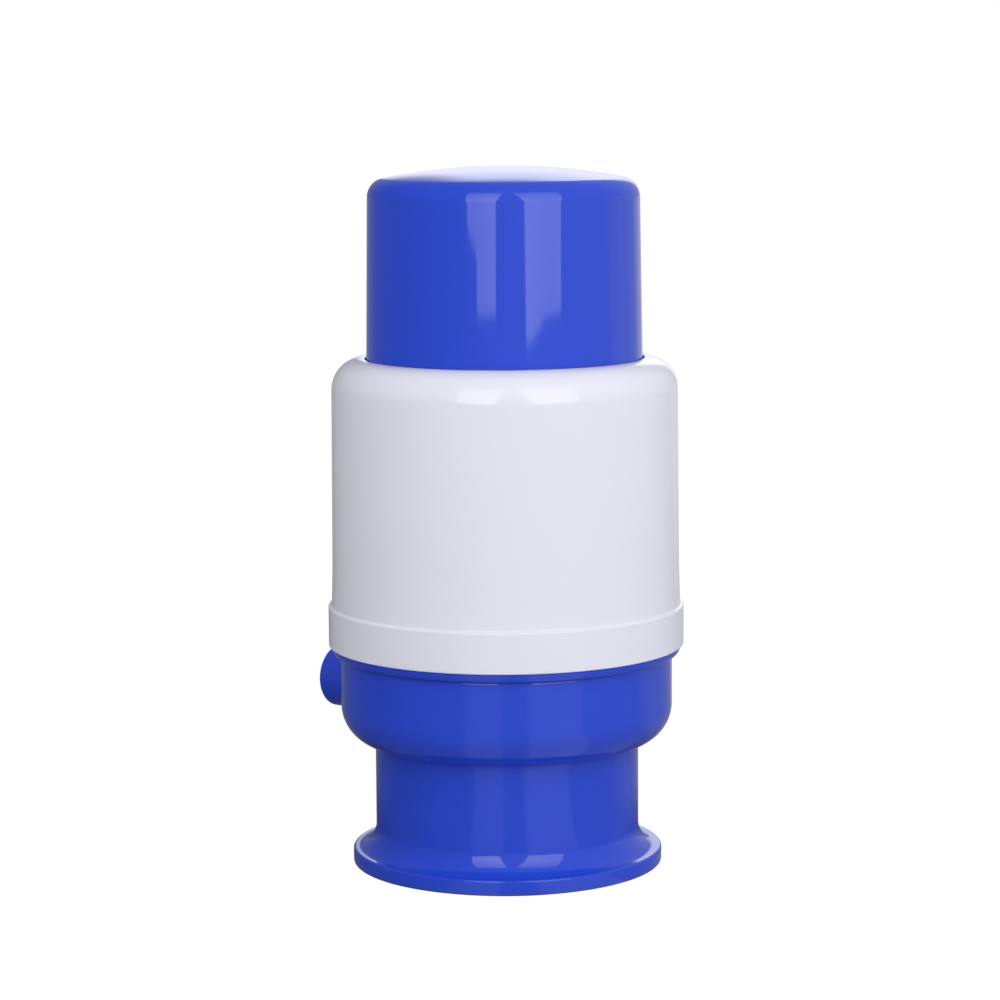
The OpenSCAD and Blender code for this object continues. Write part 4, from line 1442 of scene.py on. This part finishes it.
@dataclass
class PressCap(SubAssembly):
    """The blue cap with its posts and vents, and the plate, screws and valve under it."""

    # Lip, tapered wall, edge and dome
    lip_low: float = BELLOWS_TOP
    lip_top: float = 123.8 * MM
    lip_r: float = 41.6 * MM
    low_r: float = 35.45 * MM
    top_r: float = 34.75 * MM
    wall: float = 2.3 * MM
    edge_z: float = 177.2 * MM
    corner: float = 5.0 * MM
    crown: float = 180.0 * MM
    # Ribbed screw posts and air vents
    post_circle: float = 28.0 * MM
    post_r: float = 3.4 * MM
    post_foot: float = 121.2 * MM
    post_count: int = 4
    pilot_r: float = PILOT_R
    thread: float = 9.0 * MM
    rib_t: float = 1.8 * MM
    vent_w: float = 8.0 * MM
    vent_low: float = 124.1 * MM
    vent_h: float = 3.0 * MM
    vent_round: float = 0.8 * MM
    # Press plate's lower face and the screws through it
    press_z: float = 116.2 * MM
    screw_length: float = 13.9 * MM

    def crown_line(self, inset: float) -> list[np.ndarray]:
        """Edge rounding and dome, set in from the outside: two arcs that touch each other.

        The dome's radius R makes both arcs touch: with x and d the offsets from the edge arc's centre to
        the axis and the crown, R = (x^2 + d^2 - corner^2) / (2 (d - corner)).

        Args:
            inset: Distance inwards from the outside.

        Returns:
            Corners of the edge's arc and of the dome's, from the wall to the axis.
        """
        x = self.top_r - self.corner
        low = self.edge_z - self.corner
        d = self.crown - low
        dome = (x * x + d * d - self.corner**2) / (2 * (d - self.corner))
        meet = math.degrees(math.atan2(dome - d, x))
        return [
            arc(x, low, self.corner - inset, 0, meet),
            arc(0, self.crown - dome, dome - inset, meet, 90)[1:],
        ]

    def cap(self) -> bpy.types.Object:
        """The cap's moulding: lip, wall, dome, four ribbed posts with pilot holes, and four vents.

        Returns:
            The cap.
        """
        inner = self.low_r - self.wall
        shell = turned("cap_moulding", outline(
            [(inner, self.lip_low, SOFT), (self.lip_r, self.lip_low, BROAD)],
            [(self.lip_r, self.lip_top, BROAD), (self.low_r, self.lip_top, SOFT)],
            *self.crown_line(0),
            *[part[::-1] for part in self.crown_line(self.wall)[::-1]],
        ))
        post_top = self.edge_z - self.wall / 2
        wall_middle = self.top_r - self.wall / 2
        rib_top = self.edge_z - self.corner
        pilot_low, pilot_top = self.post_foot - OVERRUN, self.post_foot + self.thread + OVERRUN
        vent_x, vent_z = (-self.vent_w / 2, self.vent_w / 2), (self.vent_low, self.vent_low + self.vent_h)
        post = rod("posts", self.post_r, self.post_foot, post_top, SMALL, low_edge=SLIGHT)
        rib = slab("ribs", (self.post_circle, wall_middle), (self.post_foot, rib_top), self.rib_t)
        pilot = rod("pilots", self.pilot_r, pilot_low, pilot_top, TINY)
        vent = slab("vents", vent_x, vent_z, self.wall + 2 * OVERRUN, self.vent_round)
        shift = Matrix.Translation((self.post_circle, 0, 0))
        quarter = Matrix.Rotation(math.radians(90), 4, "Z")
        out = Matrix.Translation((self.low_r - self.wall / 2, 0, 0)) @ quarter
        count = self.post_count
        return combined(
            shell,
            [ringed(moved(post, shift), count), ringed(rib, count)],
            [ringed(moved(pilot, shift), count), ringed(moved(vent, out), count, 180 / count)],
        )

    def build(self, frame: dict) -> None:
        """Makes the cap, its screws and the intake valve, and dresses the press plate.

        Args:
            frame: The loaded frame.
        """
        self.place(smoothed(self.cap()), Body.BUTTON, Slot.BLUE, "press_cap")
        half_turn = Matrix.Rotation(math.pi, 4, "X")
        screw = Screw(self.screw_length).mesh("press_screw_set")
        screw = moved(screw, Matrix.Translation((self.post_circle, 0, self.press_z)) @ half_turn)
        screws = ringed(screw, self.post_count)
        self.place(smoothed(screws), Body.BUTTON, Slot.STEEL, "press_plate_screws")
        valve = Umbrella("intake_umbrella", self.press_z).mesh()
        self.place(valve, Body.INTAKE, Slot.SILICONE, "intake_valve")
        self.keep(frame, Slot.INNER, "press_plate")


@dataclass
class BodyShell(SubAssembly):
    """The white shell with its band, rounded shoulder and guide collar."""

    # Band round the foot, with a sloped ledge on top
    band_low: float = 57.2 * MM
    band_top: float = 67.55 * MM
    band_slope: float = 0.25 * MM
    band_r: float = 45.85 * MM
    band_in: float = 43.5 * MM
    band_edge: float = 0.45 * MM
    band_root: float = 0.38 * MM
    # Wall, flared over the band, and shoulder
    foot_r: float = 44.95 * MM
    flare_z: float = 78.0 * MM
    flare_r: float = 44.68 * MM
    flare_round: float = 60.0 * MM
    top_r: float = 44.35 * MM
    shoulder: float = 8.0 * MM
    top_z: float = 131.3 * MM
    wall: float = 2.3 * MM
    # Mouth for the cap and the collar that guides it
    mouth_r: float = 35.75 * MM
    collar_r: float = 37.95 * MM
    collar_z: float = 124.1 * MM
    # Snap groove and step inside the band
    snap_z: float = 61.5 * MM
    step_z: float = 66.0 * MM
    snap_rise: float = SNAP_RISE
    snap_half: float = SNAP_HALF

    def section(self) -> np.ndarray:
        """Half section, from the band's foot up the outside and down the inside.

        Returns:
            The section's points.
        """
        centre_r = self.top_r - self.shoulder
        centre_z = self.top_z - self.shoulder
        inner = self.shoulder - self.wall
        collar_a = math.degrees(math.acos((self.collar_r - centre_r) / inner))
        return outline(
            [(self.band_in, self.band_low, BROAD), (self.band_r, self.band_low, self.band_edge)],
            [(self.band_r, self.band_top, self.band_edge)],
            [(self.foot_r, self.band_top + self.band_slope, self.band_root)],
            [(self.flare_r, self.flare_z, self.flare_round)],
            arc(centre_r, centre_z, self.shoulder, 0, 90),
            [(self.mouth_r, self.top_z, SOFT), (self.mouth_r, self.collar_z, SOFT)],
            [(self.collar_r, self.collar_z, SOFT)],
            arc(centre_r, centre_z, inner, collar_a, 0),
            [(self.foot_r - self.wall, self.step_z, SLIGHT), (self.band_in, self.step_z, SLIGHT)],
            [(self.band_in, self.snap_z + self.snap_half, SLIGHT)],
            [(self.band_in + self.snap_rise, self.snap_z, SLIGHT)],
            [(self.band_in, self.snap_z - self.snap_half, SLIGHT)],
        )

    def build(self) -> None:
        """Makes the shell and puts it in place of its node."""
        self.place(smoothed(turned("shell_moulding", self.section())), Body.PUMP, Slot.WHITE, "body_shell")


# Studio

def hung(
    name: str, data: Union[bpy.types.Light, bpy.types.Camera],
    right: np.ndarray, up: np.ndarray, back: np.ndarray, place: np.ndarray,
) -> bpy.types.Object:
    """Lamp or camera that looks against its back direction.

    Args:
        name: Name of the object.
        data: The lamp or camera.
        right: Its own right.
        up: Its own up.
        back: The direction behind it.
        place: Its place.

    Returns:
        The new object.
    """
    made = bpy.data.objects.new(name, data)
    bpy.context.scene.collection.objects.link(made)
    matrix = np.identity(4)
    matrix[:3] = np.column_stack([right, up, back, place])
    made.matrix_world = Matrix(matrix.tolist())
    return made


@dataclass(frozen=True)
class Softbox:
    """Rectangular soft light, its place given by the angles in degrees at which the pump's cap sees it.

    Across the lamp runs u from 0 at its left side to 1 at its right, as the pump sees it, and v from 0
    at its foot to 1 at its top. The radiance rises above the foot by one gain and towards one side by
    another, and falls by a share towards the top. The lamp is dark left of the inset near its foot, and
    under the cut, which grows with u. Each range says where, in u or v, such a change starts and ends.
    """

    name: str
    bearing: float
    width: float
    low: float
    high: float
    radiance: float
    distance: float = 0.65
    top_gain: float = 0.0
    side_gain: float = 0.0
    bright_left: bool = False
    fall: float = 0.0
    inset: float = 0.0
    cut: float = 0.0
    mirrored: bool = True
    top_range: tuple[float, float] = (0.08, 0.14)
    side_range: tuple[float, float] = (0.3, 0.9)
    fall_range: tuple[float, float] = (0.3, 1.0)
    inset_range: tuple[float, float] = (0.045, 0.07)
    inset_edge: float = 0.03
    cut_range: tuple[float, float] = (0.0, 0.65)
    cut_edge: float = 0.004

    def shade(self, data: bpy.types.Light) -> None:
        """Gives the lamp its gradients and its outline.

        Args:
            data: The lamp.
        """
        graph = Graph(data)
        place = graph.node("ShaderNodeNewGeometry").outputs["Parametric"]
        split = graph.node("ShaderNodeSeparateXYZ", {}, {"Vector": place})
        across, up = Value(graph, split.outputs[0]), Value(graph, split.outputs[1])
        side = (1 - across if self.bright_left else across).ramp(*self.side_range)
        edge = (across + up.ramp(*self.inset_range) * self.inset - self.inset).ramp(0.0, self.inset_edge)
        foot = (up - across.ramp(*self.cut_range) * self.cut).ramp(0.0, self.cut_edge)
        level = side * self.side_gain + up.ramp(*self.top_range) * self.top_gain + 1.0
        strength = level * (1 - up.ramp(*self.fall_range) * self.fall) * edge * foot
        graph.output("ShaderNodeOutputLight", graph.glow("ShaderNodeEmission", strength))

    def build(self, right: np.ndarray, away: np.ndarray, aim: np.ndarray) -> None:
        """Hangs the lamp at its distance from the point that it is aimed at.

        Args:
            right: The photograph's right.
            away: The direction away from its camera.
            aim: The point from which the angles and the distance are counted.
        """
        angle, rise = math.radians(self.bearing), math.radians((self.low + self.high) / 2)
        half_height = math.radians((self.high - self.low) / 2)
        level = right * math.sin(angle) - away * math.cos(angle)
        out = level * math.cos(rise) + UP * math.sin(rise)
        side = np.cross(UP, out)
        side /= np.linalg.norm(side)
        lift = np.cross(out, side)
        data = bpy.data.lights.new(self.name, "AREA")
        data.shape = "RECTANGLE"
        foot_distance = self.distance / math.cos(half_height) * math.cos(math.radians(self.low))
        data.size = 2 * foot_distance * math.tan(math.radians(self.width / 2))
        data.size_y = 2 * self.distance * math.tan(half_height)
        data.energy = self.radiance * math.pi * data.size * data.size_y
        self.shade(data)
        made = hung(self.name, data, side, lift, out, aim + out * self.distance)
        made.visible_camera = False
        made.visible_glossy = self.mirrored


@dataclass
class Studio:
    """Camera, soft lights, world and floor of the photograph.

    Directions are given in the photograph's own axes, which are the pump's turned by a bearing. Other
    bearings are in degrees too, counted to the right, from the camera's side of the pump for lamps, panel
    and images, and from the side away from it for the backdrop. A gain is added light. A range gives the
    share of a direction, the sine of an angle or the distance in metres at which a change starts and ends.
    """

    bearing: float = 38.3
    # Camera, its place from the pump's foot, pitch and roll in radians, lens and sensor in millimetres
    camera_side: float = -1.38 * MM
    camera_away: float = 834.07 * MM
    camera_height: float = 208.51 * MM
    pitch: float = 0.13606
    roll: float = -0.0066
    lens: float = 117.73
    sensor: float = 36.0
    # Lamps, and the height from which their angles are counted
    aim_z: float = 145.0 * MM
    softboxes: tuple[Softbox, ...] = (
        Softbox(
            "left_softbox", -18.25, 23.0, -2.9, 52.0, 1.85,
            top_gain=0.3, side_gain=0.2, fall=0.5, inset=0.33,
        ),
        Softbox(
            "right_softbox", 31.8, 29.8, -4.1, 52.0, 1.95,
            side_gain=0.2, bright_left=True, fall=0.5, cut=0.0226,
        ),
        Softbox("left_fill", -88.0, 60.0, 5.0, 55.0, 0.8, distance=0.35, mirrored=False),
        Softbox("right_fill", 100.0, 50.0, 0.0, 45.0, 0.7, mirrored=False),
    )
    # Light from the left, the right, the front and above, and a pale panel: bearing, half width and gain
    dim_side: float = 0.20
    bright_side: float = 0.55
    front_gain: float = 0.175
    sky_gain: float = 0.05
    panel: tuple[float, float, float] = (108.0, 10.0, 0.15)
    patch_edge: float = 2.0
    # White backdrop: its light, which grows upwards, its sides and top, and the dark room beside it
    backdrop: float = 1.0
    backdrop_gain: float = 0.65
    backdrop_gain_range: tuple[float, float] = (0.0, 0.26)
    backdrop_left: float = -4.5
    backdrop_left_range: tuple[float, float] = (-0.02, 0.03)
    backdrop_lean: float = 0.08
    backdrop_right: float = 20.0
    backdrop_right_range: tuple[float, float] = (0.0, 0.15)
    backdrop_top: float = 25.5
    backdrop_top_range: tuple[float, float] = (0.0, 0.09)
    room_light: float = 0.75
    room_side_range: tuple[float, float] = (-0.02, 0.04)
    room_away_range: tuple[float, float] = (0.1, 0.6)
    # Floor as the lamps see it: half its side, its drop under the pump, greys to the left and right, the
    # darker left one painted shade, and gloss
    floor_half: float = 6.0
    floor_drop: float = 0.05 * MM
    floor_shade_greys: tuple[float, float] = (0.47, 0.585)
    floor_rough: float = 0.28
    # Floor as the camera and the pump's gloss see it: shares of glow, the glow itself and the images in it
    floor_camera: float = 0.95
    floor_mirror: float = 0.85
    floor_white: float = 1.04
    floor_backdrop: float = 0.72
    floor_right: float = 42.0
    floor_aside: float = 40.0 * MM
    near_share: float = 0.5
    clear_range: tuple[float, float] = (0.0, 0.9)
    images: tuple[tuple[float, float, float], ...] = ((-14.0, 11.0, 0.30), (31.0, 18.0, 0.36))
    # Contact shade on the floor behind the pump
    contact: float = 0.85
    contact_side_range: tuple[float, float] = (0.0, 0.3)
    contact_range: tuple[float, float] = (0.05, 0.12)

    def __post_init__(self) -> None:
        """Works out the photograph's right and the direction away from its camera, both level."""
        turn = math.radians(self.bearing)
        self.right = np.array([math.cos(turn), math.sin(turn), 0])
        self.away = np.array([-math.sin(turn), math.cos(turn), 0])

    def camera(self) -> None:
        """Camera at the photograph's place, pitched down and slightly rolled."""
        forward = self.away * math.cos(self.pitch) - UP * math.sin(self.pitch)
        upright = self.away * math.sin(self.pitch) + UP * math.cos(self.pitch)
        right = self.right * math.cos(self.roll) + upright * math.sin(self.roll)
        up = upright * math.cos(self.roll) - self.right * math.sin(self.roll)
        place = self.right * self.camera_side - self.away * self.camera_away + UP * self.camera_height
        data = bpy.data.cameras.new("photo_camera")
        data.lens = self.lens
        data.sensor_width = self.sensor
        bpy.context.scene.camera = hung("photo_camera", data, right, up, -forward, place)

    def patch(self, direction: Direction, bearing: float, half: float, gain: float) -> Value:
        """A patch of light round a bearing, where the share towards it is over the half width's cosine.

        Args:
            direction: The direction looked in.
            bearing: Bearing of the patch's middle.
            half: Half its width in degrees.
            gain: Its light.

        Returns:
            The light that it adds in that direction.
        """
        angle = math.radians(bearing)
        toward = direction.share(self.right * math.sin(angle) - self.away * math.cos(angle))
        outer, inner = math.radians(half + self.patch_edge), math.radians(half - self.patch_edge)
        return toward.ramp(math.cos(outer), math.cos(inner)) * gain

    def surround(self, direction: Direction) -> Value:
        """Light from a direction: dim on the left, bright on the right, more from the front and above.

        It goes from the dim to the bright side with the direction's share to the right, and rises by
        the gains times its shares towards the camera and upwards. A pale panel stands at one bearing.

        Args:
            direction: The direction looked in.

        Returns:
            The light.
        """
        across = direction.share(self.right).ramp(-1.0, 1.0)
        front = direction.share(-self.away).above(0.0)
        sky = direction.share(UP).above(0.0)
        light = across * (self.bright_side - self.dim_side) + front * self.front_gain + sky * self.sky_gain
        return light + self.patch(direction, *self.panel) + self.dim_side

    def right_of(self, bearing: float) -> np.ndarray:
        """Level axis along which a direction's share is the sine of its angle right of a bearing."""
        angle = math.radians(bearing)
        return self.right * math.cos(angle) - self.away * math.sin(angle)

    def behind(self, direction: Direction, bearing: float) -> Value:
        """Share of the white backdrop in a direction: 1 between its sides and below its top, else 0.

        Args:
            direction: The direction looked in.
            bearing: Bearing of the backdrop's right side.

        Returns:
            The share, eased over each side's range.
        """
        left = direction.share(self.right_of(self.backdrop_left))
        right = direction.share(-self.right_of(bearing)).ramp(*self.backdrop_right_range)
        rise = direction.share(UP)
        under = (math.sin(math.radians(self.backdrop_top)) - rise).ramp(*self.backdrop_top_range)
        return (left - rise * self.backdrop_lean).ramp(*self.backdrop_left_range) * right * under

    def room(self, direction: Direction) -> Value:
        """Share of the dark room in a direction: 1 left of the backdrop on its side of the pump, else 0."""
        beside = direction.share(-self.right_of(self.backdrop_left)).ramp(*self.room_side_range)
        return beside * direction.share(self.away).ramp(*self.room_away_range)

    def world(self) -> None:
        """World that is white to the camera.

        Mirror rays also see the backdrop, whose light grows upwards, and the dark room beside it.
        """
        made = bpy.data.worlds.new("studio_world")
        bpy.context.scene.world = made
        graph = Graph(made)
        direction = Direction(graph, graph.node("ShaderNodeTexCoord").outputs["Generated"])
        path = graph.node("ShaderNodeLightPath")
        camera = Value(graph, path.outputs["Is Camera Ray"])
        glossy = Value(graph, path.outputs["Is Glossy Ray"])
        through = Value(graph, path.outputs["Is Transmission Ray"])
        light = self.surround(direction)
        rise = direction.share(UP).ramp(*self.backdrop_gain_range)
        glow = rise * self.backdrop_gain + self.backdrop
        seen = (camera + through).ramp(0.0, 1.0)
        mirrored = glossy * self.behind(direction, self.backdrop_right)
        unlit = glossy * self.room(direction) * (1 - self.room_light)
        strength = light * (1 - unlit) + seen * (self.backdrop - light) + mirrored * (glow - light)
        graph.output("ShaderNodeOutputWorld", graph.glow("ShaderNodeBackground", strength))

    def floor_glow(self, graph: Graph, place: bpy.types.NodeSocket) -> Value:
        """What the pump's gloss sees in the floor, in place of a true mirror image.

        The direction from the pump's foot to the place stands for the mirrored one. There the floor looks
        as the surroundings do, with the backdrop, whose image is shifted to the left by a distance. It is
        dimmer near the pump, dark in the contact shade behind it, and shows the softboxes' images.

        Args:
            graph: The floor's node tree.
            place: The place on the floor.

        Returns:
            The light.
        """
        direction = Direction(graph, graph.vector("NORMALIZE", place).outputs[0])
        distance = Value(graph, graph.vector("LENGTH", place).outputs["Value"])
        shifted = graph.vector("ADD", place, tuple(self.right * self.floor_aside)).outputs[0]
        beside = Direction(graph, graph.vector("NORMALIZE", shifted).outputs[0])
        clear = distance.ramp(*self.clear_range)
        light = self.surround(direction)
        white = self.behind(beside, self.floor_right) * (self.floor_backdrop - light)
        far = (light + white) * (clear * (1 - self.near_share) + self.near_share)
        hidden = direction.share(self.away).ramp(*self.contact_side_range)
        hidden = hidden * (1 - distance.ramp(*self.contact_range))
        mirrored = far * (1 - hidden * self.contact)
        for image in self.images:
            mirrored = mirrored + self.patch(direction, *image) * (1 - clear)
        return mirrored

    def floor(self) -> None:
        """White floor that keeps a faint shadow: grey under the lamps, darker to the left as painted shade,
        with a glow for camera and gloss.
        """
        half = self.floor_half
        points = np.array([[-half, -half, 0], [half, -half, 0], [half, half, 0], [-half, half, 0]])
        made = solid("studio_floor", points - UP * self.floor_drop, np.array([[0, 1, 2, 3]]))
        material = bpy.data.materials.new("studio_white")
        graph = Graph(material)
        place = graph.place()
        direction = Direction(graph, graph.vector("NORMALIZE", place).outputs[0])
        across = direction.share(self.right).ramp(-1.0, 1.0)
        # Painted shade: the floor's colour goes from a darker grey on the left to a lighter one on the right
        left_grey, right_grey = [(grey, grey, grey) for grey in self.floor_shade_greys]
        surface = graph.node("ShaderNodeBsdfPrincipled", {}, {
            "Base Color": graph.tint(across, left_grey, right_grey),
            "Roughness": self.floor_rough,
        })
        path = graph.node("ShaderNodeLightPath")
        camera = Value(graph, path.outputs["Is Camera Ray"])
        glossy = Value(graph, path.outputs["Is Glossy Ray"])
        mirrored = self.floor_glow(graph, place)
        glow = graph.glow("ShaderNodeEmission", mirrored + camera * (self.floor_white - mirrored))
        share = camera * self.floor_camera + glossy * self.floor_mirror
        mix = graph.node("ShaderNodeMixShader", {}, {0: share, 1: surface.outputs[0], 2: glow})
        graph.output("ShaderNodeOutputMaterial", mix.outputs[0])
        made.data.materials.append(material)

    def build(self) -> None:
        """Sets up camera, lights, world, floor and the plain view transform."""
        self.camera()
        for softbox in self.softboxes:
            softbox.build(self.right, self.away, UP * self.aim_z)
        self.world()
        self.floor()
        bpy.context.scene.view_settings.view_transform = "Standard"


def main() -> None:
    """Builds the studio and every sub-assembly in order."""
    logging.basicConfig(level=logging.INFO, format="%(name)s %(message)s")
    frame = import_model()
    Studio().build()
    finishes = Finishes()
    BaseHousing(finishes).build()
    NeckSeals(finishes).build(frame)
    BellowsUnit(finishes).build(frame)
    PressCap(finishes).build(frame)
    BodyShell(finishes).build()


if __name__ == "__main__":
    main()
